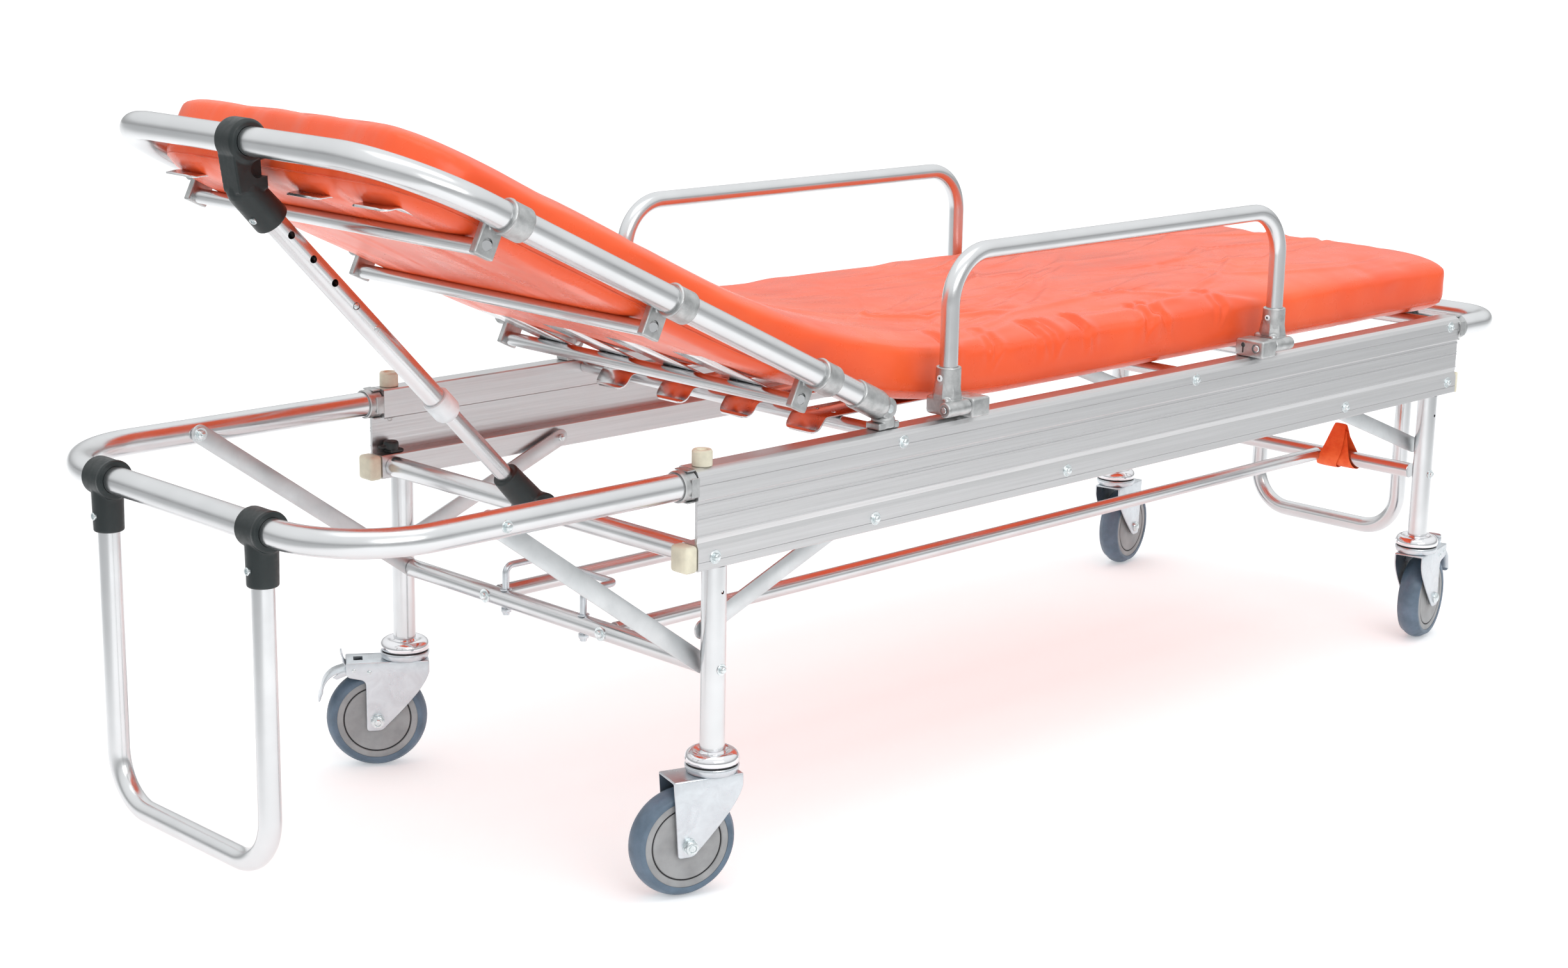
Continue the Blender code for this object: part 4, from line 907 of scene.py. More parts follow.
def make_back_tube():
    corners = [
        back_point(0.046, 0, -BACK_Y), back_point(BACK_LENGTH, 0, -BACK_Y),
        back_point(BACK_LENGTH, 0, BACK_Y), back_point(0.046, 0, BACK_Y),
    ]
    tube = Shape().tube(smooth_path(corners, BACK_BEND, 22), BACK_R, 44)
    piece("backrest_tube", tube, TUBE, "backrest", ["backrest_frame"])


def make_back_clamps():
    """Six cast clamps: a ring with a bead on the side tube, and a lug with a socket screw."""
    for i, along in enumerate(BACK_CLAMPS):
        for label, side in SIDES:
            def axis_point(step):
                return back_point(along + step, 0, side * BACK_Y)

            clamp = Shape().rod(axis_point(-0.0140), axis_point(0.0115), 0.0186, 44, 0.0010)
            clamp.rod(axis_point(0.0105), axis_point(0.0142), 0.0196, 44, 0.0016)
            face, depth = side * 0.2606, 0.0095
            low, high = sorted((face, face - side * depth))
            lug = Shape().box((-0.0130, low, -0.0435), (0.0130, high, -0.0080), 0.0016, 3)
            axis = along + LUG_SHIFT
            clamp.join(lug.move(back_matrix(axis, 0.0)))
            centre, outward = back_point(axis + 0.001, -BACK_DROP + 0.004, face), Vector((0, side, 0))
            holes = [
                bore(axis_point(-0.03), axis_point(0.03), BACK_R + 0.0001, 44),
                bore(centre - outward * 0.0030, centre + outward * 0.004, 0.0066, 28),
            ]
            name = f"{i + 1}_{label}"
            piece(f"back_clamp_{name}", moulded(clamp, 0.0008, 2, holes), CAST, "backrest", (), 40)
            head = screw(Shape(), centre - outward * 0.0036, outward, 0.0044)
            piece(f"clamp_screw_{name}", head, CAST, "backrest", slot="zinc_plate")


def make_back_slats():
    """Three cross tubes and four flat bars that curl down at both ends."""
    bars, slats, rivets = Shape(), Shape(), Shape()
    half, top = 0.2600, -BACK_DROP + CROSS_R + 0.0010
    start, stop, tab = 0.062, 0.690, 0.024
    outward = back_point(0, -1) - back_point(0, 0)
    for along in BACK_CLAMPS:
        bars.tube([back_point(along + LUG_SHIFT, -BACK_DROP, y) for y in (-half, 0, half)], CROSS_R, 32)
    for y in SLAT_Y:
        path = [back_point(start + 0.001, top - 0.0065), back_point(start + tab * 0.5, top - 0.0042)]
        path += [back_point(start + tab * t, top - 0.0065 * (1 - t) ** 2) for t in (0.75, 1.0)]
        path += [back_point(stop - tab, top)]
        for i in range(1, 9):
            t = i / 8
            path.append(back_point(stop - tab + tab * t, top - 0.0100 * t * t * (3 - 2 * t)))
        slats.join(slat_shape(fine_path(path), y, SLAT_HALF))
        for along in BACK_CLAMPS:
            for offset in RIVET_OFFSETS:
                rivet(rivets, back_point(along + LUG_SHIFT, top - 0.0014, y + offset), outward, 0.0028)
    piece("back_bars", bars, TUBE, "backrest", ["back_slat_frame"])
    piece("back_slats", slats, SLAT, "backrest", ["back_slat_frame"], 50)
    piece("back_rivets", rivets, BOLT, "backrest")


# ------------------------------------------------------------------ telescopic strut
def strut(along, out=0.0):
    """A point on the strut's axis, from the head cross tube; out is towards the head end."""
    return Vector((STRUT_X, 0, STRUT_Z)) + STRUT_DIR * along + Vector((-STRUT_DIR.z, 0, STRUT_DIR.x)) * out


STRUT_BORES = [0.4755 - 0.0380 * i for i in range(5)]


def make_strut():
    foot = Shape().rod(*across_ends(STRUT_X, 0, STRUT_Z, 0.0195), 0.0195, 44, 0.0012)
    foot.rod(strut(0.004), strut(0.062), 0.0182, 44, 0.0012, 0.0160)
    bores = [
        bore(*across_ends(STRUT_X, 0, STRUT_Z, 0.03), 0.0126, 44),
        bore(strut(0.028), strut(0.08), 0.0101, 44),
    ]
    mesh = moulded(foot, 0.0009, 6, bores)
    piece("strut_foot_clamp", mesh, BLACK, "strut_lower", ["strut_clamp"], 50)
    inner = Shape().tube([strut(0.030), strut(0.2), strut(0.380)], 0.0100, 36)
    piece("strut_rod", inner, TUBE, "strut_lower", ["strut_inner_tube"])

    def near_side(along, depth, *profile):
        """A small turned shape on the strut's near side, at a depth from its axis."""
        return Shape().lathe(profile, strut(along) - Vector((0, depth, 0)), NEAR, 24)

    outer = Shape().tube([strut(0.1863), strut(0.35), strut(0.534)], STRUT_R, 40, 0.0022)
    holes = [near_side(along, 0.004, (0.0042, 0), (0.0042, 0.02)) for along in STRUT_BORES[:4]]
    mesh = cut(outer.mesh(), *holes)
    piece("strut_sleeve", mesh, TUBE, "strut_upper", ["strut_outer_tube"], 30)
    button = near_side(STRUT_BORES[3], 0.0085, (0.0033, 0), (0.0033, 0.0038), (0.0024, 0.0050), (TIP, 0.0055))
    piece("strut_button", button, BOLT, "strut_upper")
    plug = near_side(STRUT_BORES[4], 0.0124, (0.0034, 0), (0.0034, 0.0004), (0.0028, 0.0007), (TIP, 0.0007))
    piece("strut_plug", plug, TUBE, "strut_upper")
    dark = Shape()
    for along in STRUT_BORES[:3]:
        dark.join(near_side(along, 0.0005, (0.0060, 0), (0.0060, 0.0003), (TIP, 0.0004)))
    piece("strut_bore_shadow", dark, PAINTED_SHADE, "strut_upper")
    bush = [
        (0.0101, 0.172), (0.0120, 0.1722), (0.0140, 0.1745), (0.0158, 0.1785), (0.0160, 0.184),
        (0.0160, 0.2005), (0.0152, 0.2018), (0.0126, 0.2020), (0.0126, 0.1861), (0.0101, 0.1861),
    ]
    ring = Shape().lathe(bush, strut(0), STRUT_DIR, 44, ring=True)
    piece("strut_guide_bush", ring, BUSH, "strut_upper", ["strut_bush"])
    make_elbow()


def make_elbow():
    """The moulded elbow: a ring round the backrest's end tube, a pocketed neck and a socket."""
    end, knee = back_point(BACK_LENGTH), strut(0.543)
    body = Shape().rod(end + Vector((0, -0.0205, 0)), end + Vector((0, 0.0125, 0)), 0.0228, 56, 0.0030)
    run = knee - end
    side = Vector((run.z, 0, -run.x)).normalized()
    outline = [end + side * 0.0195, end - side * 0.0205, knee - side * 0.0175, knee + side * 0.0170]
    body.prism([(p.x, p.z) for p in outline], -0.0175, 0.0125)
    body.ball(knee, 0.0186)
    body.rod(knee, strut(0.497), 0.0186, 48, 0.0012, 0.0197)
    pocket = Shape()
    heart = end + run * 0.58
    corners = arc((0.0, 0.0), 0.0095, -70, 70, 8) + [(-0.0300, 0.0085), (-0.0300, -0.0085)]
    around = [heart + side * (a - 0.0085) + run.normalized() * b for a, b in corners]
    pocket.prism([(p.x, p.z) for p in around], -0.0200, -0.0060)
    holes = [
        bore(*across_ends(end.x, 0, end.z, 0.04), BACK_R + 0.0004, 48),
        bore(strut(0.48), strut(0.5342), STRUT_R + 0.0001, 48),
        pocket,
    ]
    mesh = moulded(body, 0.0010, 5, holes)
    piece("strut_elbow_moulding", mesh, BLACK, "strut_upper", ["strut_elbow"], 50)
    outward = Vector((-STRUT_DIR.z, -0.35, STRUT_DIR.x)).normalized()
    head = screw(Shape(), strut(0.517) + outward * 0.0183, outward, 0.0042)
    piece("strut_elbow_screw", head, BOLT, "strut_upper")


# ------------------------------------------------------------------ guard rails
def make_guards():
    for label, side in SIDES:
        y, low = side * GUARD_Y, 0.5193
        corners = [
            (GUARD_X["head"], y, low), (GUARD_X["head"], y, GUARD_TOP),
            (GUARD_X["foot"], y, GUARD_TOP), (GUARD_X["foot"], y, low),
        ]
        hoop = Shape().tube(smooth_path(corners, GUARD_BEND, 16), GUARD_R, 36)
        body = f"guard_{label}"
        piece(f"guard_hoop_{label}", hoop, TUBE, body, [f"guard_rail_{label}"])
        for end, way in (("head", 1), ("foot", -1)):
            make_guard_socket(end, way, label, side, body)
            make_guard_bracket(end, way, label, side)


def make_guard_socket(end, way, label, side, body):
    """The waisted casting that holds a hoop's leg: collar, eight-sided shoulder, foot and barrel."""
    x, y = GUARD_X[end], side * GUARD_Y
    pin_y, pin_z = side * GUARD_PIN_Y, GUARD_PIN_Z
    barrel_head, barrel_foot = x - 0.0238, x + 0.0161
    outer = barrel_head - 0.0002 if way > 0 else barrel_foot + 0.0002
    near, far = sorted((side * 0.2645, side * 0.2985))
    casting = Shape().box((x - 0.0165, near, RAIL_TOP + 0.0047), (x + 0.0150, far, 0.5130), 0.0042, 3)
    waist = [(0.0150, 0), (0.0178, 0.0045), (0.0178, 0.0095), (0.0156, 0.0235), (0.0140, 0.0240)]
    turn = Matrix.Rotation(math.radians(22.5), 4, "Z")
    shoulder = Shape().lathe(waist, ORIGIN, UP, 8)
    casting.join(shoulder.move(Matrix.Translation((x, y - side * 0.001, 0.5055)) @ turn))
    casting.lathe([(0.0150, 0), (0.0150, 0.0275), (0.0141, 0.0285), (TIP, 0.0285)], (x, y, 0.5187), UP, 40)
    casting.rod((barrel_head, pin_y, pin_z), (barrel_foot, pin_y, pin_z), 0.0090, 40, 0.0010)
    holes = [
        bore((x, y, 0.5188), (x, y, 0.56), GUARD_R + GAP),
        disc((outer + way * 0.0018, pin_y, pin_z), (-way, 0, 0), 0.0050, 0.01),
    ]
    name, rivet_z, headward = f"{end}_{label}", 0.5345, (-1, 0, 0)
    mesh = moulded(casting, 0.0007, 2, holes)
    piece(f"guard_socket_casting_{name}", mesh, CAST, body, [f"guard_socket_{name}"], 35)
    ring = [
        (0.0040, 0), (0.0040, 0.0006), (0.0030, 0.0015), (0.0018, 0.0017), (0.0014, 0.0006), (TIP, 0.0005),
    ]
    head = Shape().lathe(ring, (x - 0.0146, y, rivet_z), headward, 28)
    piece(f"guard_rivet_{name}", head, BUSH, body)
    # painted shade: a near-black dot in the rivet's hollow centre
    dot = [(0.0015, 0), (0.0012, 0.0002), (TIP, 0.0003)]
    eye = Shape().lathe(dot, (x - 0.0154, y, rivet_z), headward, 16)
    piece(f"guard_rivet_hole_shade_{name}", eye, PAINTED_SHADE, body)


def make_guard_bracket(end, way, label, side):
    """The block on the rail that carries the fold pin, with the latch's keyhole in its end."""
    x, outward = GUARD_X[end], (way, 0, 0)
    pin_y, pin_z = side * GUARD_PIN_Y, GUARD_PIN_Z
    start = x + 0.0166 if way > 0 else x - 0.0243
    face = start + way * 0.0315
    near, far = sorted((start, face))
    inner, outer = sorted((side * 0.2645, side * 0.3098))
    block = Shape().box((near, inner, RAIL_TOP + GAP), (far, outer, 0.5098), 0.0034, 4)
    key_y, key_half = side * 0.2775, 0.0011
    head_y, head_z = pin_y - side * 0.003, pin_z - 0.0010
    slot_low, slot_high = sorted((face - way * 0.007, face + way * 0.002))
    holes = [
        disc((face, key_y, pin_z + 0.0020), outward, 0.0032, 0.002, 24, -0.007),
        Shape().box((slot_low, key_y - key_half, pin_z - 0.0085), (slot_high, key_y + key_half, pin_z)),
        disc((face, head_y, head_z), outward, 0.0064, 0.002, 32, -0.003),
    ]
    name = f"{end}_{label}"
    mesh = cut(block.mesh(), *holes)
    piece(f"guard_block_{name}", mesh, CAST, "frame", [f"guard_bracket_{name}"], 35)
    ends = [(start + way * along, pin_y, pin_z) for along in (-0.0415, 0.0137)]
    pin = Shape().rod(*ends, 0.0039, 28, 0.0005)
    head = [(0.0046, 0), (0.0046, 0.0026), (0.0036, 0.0034), (TIP, 0.0034)]
    pin.lathe(head, (face - way * 0.0034, head_y, head_z), outward, 28)
    piece(f"guard_pin_{name}", pin, BOLT, "frame")


# ------------------------------------------------------------------ support legs
def make_supports():
    """A bent leg at each end, hung from its loop by two moulded tees."""
    for end, way in ENDS:
        x, half, seat, body = LOOP_X[end], SUPPORT_Y[end], LOOP_Z - 0.026, f"support_{end}"
        corners = [(x, -half, seat), (x, -half, SUPPORT_LOW), (x, half, SUPPORT_LOW), (x, half, seat)]
        leg = Shape().tube(smooth_path(corners, SUPPORT_BEND, 16), SUPPORT_R, 36)
        piece(f"support_hoop_{end}", leg, TUBE, body, [f"support_leg_{end}"])
        for label, side in SIDES:
            name, y = f"{end}_{label}", side * half
            tee = Shape().rod(*across_ends(x, y, LOOP_Z, 0.0180), 0.0208, 48, 0.0016)
            tee.rod((x, y - 0.0183, LOOP_Z), (x, y - 0.0130, LOOP_Z), 0.0214, 48, 0.0010)
            tee.rod((x, y, LOOP_Z - 0.006), (x, y, LOOP_Z - 0.0580), 0.0172, 44, 0.0012, 0.0163)
            holes = [
                bore(*across_ends(x, y, LOOP_Z, 0.03), LOOP_R + GAP, 44),
                bore((x, y, LOOP_Z - 0.08), (x, y, LOOP_Z - 0.0255), SUPPORT_R + GAP),
            ]
            mesh = moulded(tee, 0.0009, 4, holes)
            piece(f"support_tee_moulding_{name}", mesh, BLACK, body, [f"support_tee_{name}"], 50)
            head = screw(Shape(), (x + way * 0.0163, y, LOOP_Z - 0.040), (way, 0, 0), 0.0042)
            piece(f"support_screw_{name}", head, BOLT, body)


# ------------------------------------------------------------------ casters
def fork_outline(has_brake):
    """A fork cheek seen from the side: X along the trail, Z up, drawn from the front edge down."""
    back, top = (0.0735 if has_brake else 0.0550), 0.1385
    low = arc((TRAIL, WHEEL_R), 0.0135, 214, 268, 6)
    low += arc((TRAIL + 0.0095, WHEEL_R - 0.0095), 0.0040, 270, 360, 5)
    start, control, stop = Vector((-0.0290, 0.1240)), Vector((-0.0250, 0.1030)), Vector(low[0])
    points = [(-0.0290, top)]
    for i in range(9):
        t = i / 8
        spot = start * (1 - t) ** 2 + control * 2 * t * (1 - t) + stop * t * t
        points.append((spot.x, spot.y))
    points += low[1:]
    if has_brake:
        inner = arc((TRAIL + 0.0135 + 0.0075, 0.1085), 0.0075, 180, 100, 5)
        points += inner + [(0.0700, 0.1190), (back, 0.1235)]
    points.append((back, top))
    return points


def make_caster(name):
    """A swivelling fork under its leg, with its race and dome, its axle bolt, wheel and pedal."""
    end, label = name.split("_")
    side = -1 if label == "right" else 1
    braked = name in BRAKED
    turn = Matrix.Rotation(math.radians(YAW[name]), 4, "Z")
    place = Matrix.Translation((LEG_X[end], side * LEG_Y, 0)) @ turn
    body, half = f"caster_{name}", 0.0217
    shell = Shape().prism(fork_outline(braked), -half, half, "XZ", 0.0016 if braked else 0.0018, 3)
    inside = [(-0.06, 0.02), (0.10, 0.02), (0.10, 0.1363), (-0.06, 0.1363)]
    holes = [Shape().prism(inside, -0.0195, 0.0195, "XZ", 0.0012, 3)]
    if braked:
        holes.append(Shape().box((0.0525, -0.0080, 0.130), (0.0640, 0.0080, 0.150)))
    fork = cut(shell.mesh(), *holes)
    fork.transform(place)
    piece(f"fork_{name}", fork, ZINC, body, [f"caster_fork_{name}"], 35)
    make_swivel(name, place, body)
    make_axle(name, place, body, half, braked)
    make_wheel(name, place)
    if braked:
        make_pedal(name, place)


def make_swivel(name, place, body):
    """The ball race on the fork, the plated dome above it, and a near-black ring between them painted as the
    shade in the gap.
    """
    rim = [
        (0.0150, 0.1388), (0.0272, 0.1386), (0.0292, 0.1400), (0.0304, 0.1440), (0.0306, 0.1468),
        (0.0298, 0.1480), (0.0150, 0.1482),
    ]
    race = Shape().lathe(rim, ORIGIN, UP, 56, ring=True)
    for way in (-1, 1):
        ear = [(0.0105, 0), (0.0100, 0.0022), (0.0080, 0.0034), (TIP, 0.0036)]
        race.lathe(ear, (0.004, way * 0.0175, 0.1384), UP, 32)
    piece(f"swivel_race_{name}", race.move(place), ZINC, body, (), 40)
    # painted shade: a near-black ring filling the gap between race and dome
    slot = [(0.0150, 0.1480), (0.0286, 0.1480), (0.0286, 0.1498), (0.0150, 0.1498)]
    gap = Shape().lathe(slot, ORIGIN, UP, 48, ring=True)
    piece(f"swivel_gap_shade_{name}", gap.move(place), PAINTED_SHADE, body)
    bell = [
        (0.0125, 0.1500), (0.0288, 0.1499), (0.0303, 0.1507), (0.0310, 0.1530), (0.0308, 0.1560),
        (0.0296, 0.1592), (0.0272, 0.1619), (0.0240, 0.1634), (0.0212, 0.1634), (0.0182, 0.1622),
        (0.0166, 0.1608), (0.0150, 0.1604), (0.0140, 0.1612), (0.0125, 0.1637),
    ]
    dome = Shape().lathe(bell, ORIGIN, UP, 56, ring=True)
    piece(f"swivel_dome_{name}", dome.move(place), CHROME, body, (), 50)


def make_axle(name, place, body, half, braked):
    """The axle bolt with its washer and lock nut, and the rivets of a braked fork."""
    centre = (TRAIL, 0, WHEEL_R)
    bolt = Shape()
    washer = [(0.0050, half), (0.0088, half), (0.0088, half + 0.0012), (0.0050, half + 0.0012)]
    bolt.lathe(washer, centre, ACROSS, 28, ring=True)
    nut = Shape().prism(hex_outline(0.0086), half + 0.0010, half + 0.0062, "XZ", 0.0007)
    bolt.join(nut.move(Matrix.Translation(centre)))
    collar = [
        (0.0074, 0.0060), (0.0072, 0.0078), (0.0056, 0.0086),
        (0.0048, 0.0086), (0.0048, 0.0076), (TIP, 0.0076),
    ]
    bolt.lathe([(r, half + h) for r, h in collar], centre, ACROSS, 32)
    bolt.rod((TRAIL, 0.0210, WHEEL_R), (TRAIL, half + 0.0092, WHEEL_R), 0.0042, 24, 0.0008)
    head = [(0.0082, 0), (0.0082, 0.0016), (0.0066, 0.0040), (0.0040, 0.0054), (TIP, 0.0060)]
    bolt.lathe([(r, half + h) for r, h in head], centre, NEAR, 32)
    bolt.rod(*across_ends(*centre, half), 0.0049, 24)
    if braked:
        for way in (-1, 1):
            rivet(bolt, (0.0450, way * half, 0.1262), (0, way, 0), 0.0030)
            rivet(bolt, (0.0640, way * half, 0.1290), (0, way, 0), 0.0026)
    piece(f"axle_bolt_{name}", bolt.move(place), BOLT, body, (), 30)


def make_wheel(name, place):
    """Rubber tyre on a plastic centre, with a fine ring groove round its hub cap and a near-black band
    painted as the shade in that groove.
    """
    centre, body = (TRAIL, 0, WHEEL_R), f"wheel_{name}"
    turns = [math.radians(degrees) for degrees in (58, 48, 38, 28, 18, 8, 0)]
    tyre = [(0.0500, 0.0152), (0.0535, 0.0160), (0.0562, 0.0152)]
    tyre += [(0.0535 + 0.0090 * math.cos(t), 0.0132 * math.sin(t)) for t in turns]
    ring = Shape().lathe(tyre + [(r, -h) for r, h in reversed(tyre[:-1])], centre, ACROSS, 72, ring=True)
    piece(f"tyre_{name}", ring.move(place), TYRE, body, [body], 50)
    face = [
        (0.0056, 0.0157), (0.0120, 0.0157), (0.0126, 0.0150), (0.0395, 0.0146), (0.0404, 0.0139),
        (0.0406, 0.0116), (0.0420, 0.0116), (0.0422, 0.0140), (0.0430, 0.0147), (0.0488, 0.0150),
        (0.0502, 0.0144),
    ]
    hub = Shape().lathe(face + [(r, -h) for r, h in reversed(face)], centre, ACROSS, 72, ring=True)
    piece(f"wheel_centre_{name}", hub.move(place), HUB, body, (), 35)
    # painted shade: a near-black band laid in the groove on each face of the hub
    groove = Shape()
    for way in (-1, 1):
        band = [(0.0402, 0), (0.0424, 0), (0.0424, 0.0008), (0.0402, 0.0008)]
        groove.lathe(band, (TRAIL, way * 0.0128, WHEEL_R), (0, way, 0), 72, ring=True)
    piece(f"wheel_groove_shade_{name}", groove.move(place), PAINTED_SHADE, body, slot="caster_wheel")


def sheet(path, half, thick, corner=0.004):
    """A strip of sheet metal along a path in the XZ plane, with rounded far corners."""
    line = fine_path([Vector((a, 0, b)) for a, b in path], (0.35, 0.6, 0.8, 0.93))
    return slat_shape(line, 0.0, half, thick, corner)


def make_pedal(name, place):
    """The total-stop pedal: a curved blade to tread on, and the release tab above the plate."""
    blade = [(0.0560, 0.1300), (0.0700, 0.1288), (0.0800, 0.1258)]
    blade += arc((0.0760, 0.0985), 0.0275, 78, 2, 8)
    blade += [(0.1062, 0.0925), (0.1075, 0.0872)]
    pedal = sheet(blade, 0.0163, 0.0020, 0.006)
    tab = [
        (0.0620, 0.1325), (0.0700, 0.1322), (0.0748, 0.1340),
        (0.0768, 0.1380), (0.0776, 0.1440), (0.0792, 0.1497),
    ]
    pedal.join(sheet(tab, 0.0110, 0.0020, 0.004))
    cheek = [
        (0.0540, 0.1320), (0.0800, 0.1270), (0.0900, 0.1190),
        (0.0850, 0.1165), (0.0700, 0.1225), (0.0540, 0.1240),
    ]
    for way in (-1, 1):
        low, high = sorted((way * 0.0150, way * 0.0168))
        pedal.join(Shape().prism(cheek, low, high, "XZ", 0.0004))
    mesh = pedal.move(place)
    piece(f"pedal_plate_{name}", mesh, ZINC, f"pedal_{name}", [f"brake_pedal_{name}"], 40)


# ------------------------------------------------------------------ mattress
PAD_HALF, PAD_BACK_HALF = 0.2530, 0.2510
PAD_LOW, PAD_THICK = 0.4900, 0.0735
PAD_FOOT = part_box("mattress_seat")[1][0] - 0.001
BACK_PAD_LOW = -0.0215
FOOT_CORNER, HEAD_CORNER = 0.034, 0.082
BEND_R = 1.20


def pad_spine():
    """How far the pad runs along its bottom face, from the bend's middle to each end."""
    along_end = (Vector((-math.cos(BACK_TILT), 0, math.sin(BACK_TILT)))).normalized()
    low_line = back_point(0.0, BACK_PAD_LOW)
    rise = (PAD_LOW - low_line.z) / along_end.z
    corner = low_line + along_end * rise
    tangent = BEND_R * math.tan(BACK_TILT / 2)
    end = back_point(BACK_LENGTH - 0.0345, BACK_PAD_LOW)
    straight = (end - corner).length - tangent
    return corner, tangent, straight


CORNER, TANGENT, BACK_RUN = pad_spine()
ARC_RUN = BEND_R * BACK_TILT
SEAT_RUN = PAD_FOOT - (CORNER.x + TANGENT)


def bend_pad(spot):
    """Takes a point of the flat pad to its place: x runs towards the foot, z up from its bottom."""
    x, y, z = spot
    start = CORNER.x + TANGENT
    if x >= 0:
        return Vector((start + x, y, PAD_LOW + z))
    turn = min(-x / BEND_R, BACK_TILT)
    radius = BEND_R - z
    bent = Vector((start - radius * math.sin(turn), y, PAD_LOW + BEND_R - radius * math.cos(turn)))
    beyond = max(-x - ARC_RUN, 0.0)
    return bent + Vector((-math.cos(turn), 0, math.sin(turn))) * beyond


def pad_half(x):
    """Half the pad's width at x: it narrows a little where it lies between the side tubes."""
    ease = min(max((0.04 - x) / 0.16, 0.0), 1.0)
    return PAD_HALF + (PAD_BACK_HALF - PAD_HALF) * ease * ease * (3 - 2 * ease)


def pad_outline(shrink=0.0):
    """The pad's plan, anticlockwise: blunt corners at the foot, wide round ones at the head."""
    foot, head = SEAT_RUN - shrink, -(ARC_RUN + BACK_RUN) + shrink
    half, back_half = pad_half(1.0) - shrink, PAD_BACK_HALF - shrink
    cut_x, cut_y, ease, edge = FOOT_CORNER * 0.55, FOOT_CORNER, 0.016, 0.05
    side_x, head_x = foot - cut_x - edge, head + HEAD_CORNER
    blunt = [Vector((foot, half - cut_y - edge)), Vector((foot, half - cut_y)),
             Vector((foot - cut_x, half)), Vector((side_x, half))]
    far = [Vector((foot, 0.10))]
    for before, corner, after in zip(blunt, blunt[1:], blunt[2:]):
        a = corner + (before - corner).normalized() * ease
        b = corner + (after - corner).normalized() * ease
        for i in range(7):
            t = i / 6
            far.append(a * (1 - t) ** 2 + corner * 2 * t * (1 - t) + b * t * t)
    steps = 60
    for i in range(1, steps):
        x = side_x + (head_x - side_x) * i / steps
        far.append(Vector((x, pad_half(x) - shrink)))
    far += [Vector(p) for p in arc((head_x, back_half - HEAD_CORNER), HEAD_CORNER, 90, 180, 14)]
    far.append(Vector((head, 0.07)))
    near = [Vector((p.x, -p.y)) for p in reversed(far)]
    return [Vector((foot, 0.0))] + far + [Vector((head, 0.0))] + near


def flat_pad():
    """The pad before it is bent and stuffed: its plan raised into a slab with round edges."""
    low_r, top_r = 0.017, 0.011
    rings = [(low_r * (1 - math.sin(t)), low_r * (1 - math.cos(t))) for t in np.linspace(0, math.pi / 2, 6)]
    for t in np.linspace(0, math.pi / 2, 5):
        rings.append((top_r * (1 - math.cos(t)), PAD_THICK - top_r * (1 - math.sin(t))))
    shape = Shape()
    shape._rings([[Vector((p.x, p.y, z)) for p in pad_outline(inset)] for inset, z in rings])
    return shape.mesh()


def vertex_rows(mesh, field):
    """The vertices' places or normals, one row each."""
    rows = np.empty(len(mesh.vertices) * 3)
    mesh.vertices.foreach_get(field, rows)
    return rows.reshape(-1, 3)


def stuffed(mesh, voxel=0.0075, pressure=4.0, cap=0.0055):
    """Fills the flat pad by cloth pressure, and holds each point within the cap of where it lay."""
    helper = helper_object(mesh)
    remesh = helper.modifiers.new("even", "REMESH")
    remesh.mode = "VOXEL"
    remesh.voxel_size = voxel
    even = evaluated(helper)
    rest = vertex_rows(even, "co")
    pad = helper_object(even)
    settings = pad.modifiers.new("stuff", "CLOTH").settings
    settings.quality = 6
    settings.mass = 0.4
    settings.tension_stiffness = settings.compression_stiffness = 28.0
    settings.shear_stiffness = 12.0
    settings.bending_stiffness = 1.6
    settings.use_pressure = True
    settings.uniform_pressure_force = pressure
    settings.effector_weights.gravity = 0.0
    scene = bpy.context.scene
    for step in range(1, 21):
        scene.frame_set(step)
    swollen = evaluated(pad)
    scene.frame_set(1)
    moved = vertex_rows(swollen, "co") - rest
    length = np.linalg.norm(moved, axis=1, keepdims=True)
    moved *= np.minimum(1.0, cap / np.maximum(length, 1e-9))
    swollen.vertices.foreach_set("co", (rest + moved).ravel())
    return swollen


TOP_CREASES = 46
# where the cover is gathered at its near edge: x along the flat pad from the bend
SIDE_PUCKERS = (-0.115, -0.040, 0.060, 0.078, 0.145, 0.262, 0.300, 0.420)


def creases():
    """The top's creases as (x, y, heading, length, width, depth), from a seeded draw.

    The long ones slant from the near side towards the foot; short ones run in from each pucker.
    """
    draw = random.Random(SEED)
    made = []
    for _ in range(TOP_CREASES):
        x, y = draw.uniform(-0.20, SEAT_RUN - 0.05), draw.uniform(-0.23, 0.22)
        heading = math.radians(draw.gauss(12.0, 14.0))
        length, width = draw.uniform(0.06, 0.24), draw.uniform(0.004, 0.010)
        made.append((x, y, heading, length, width, draw.uniform(0.0014, 0.0036)))
    for x in SIDE_PUCKERS:
        heading = math.radians(90 + draw.gauss(0, 24))
        made.append((x, -0.235, heading, 0.035, 0.0050, draw.uniform(0.0018, 0.0030)))
    return made


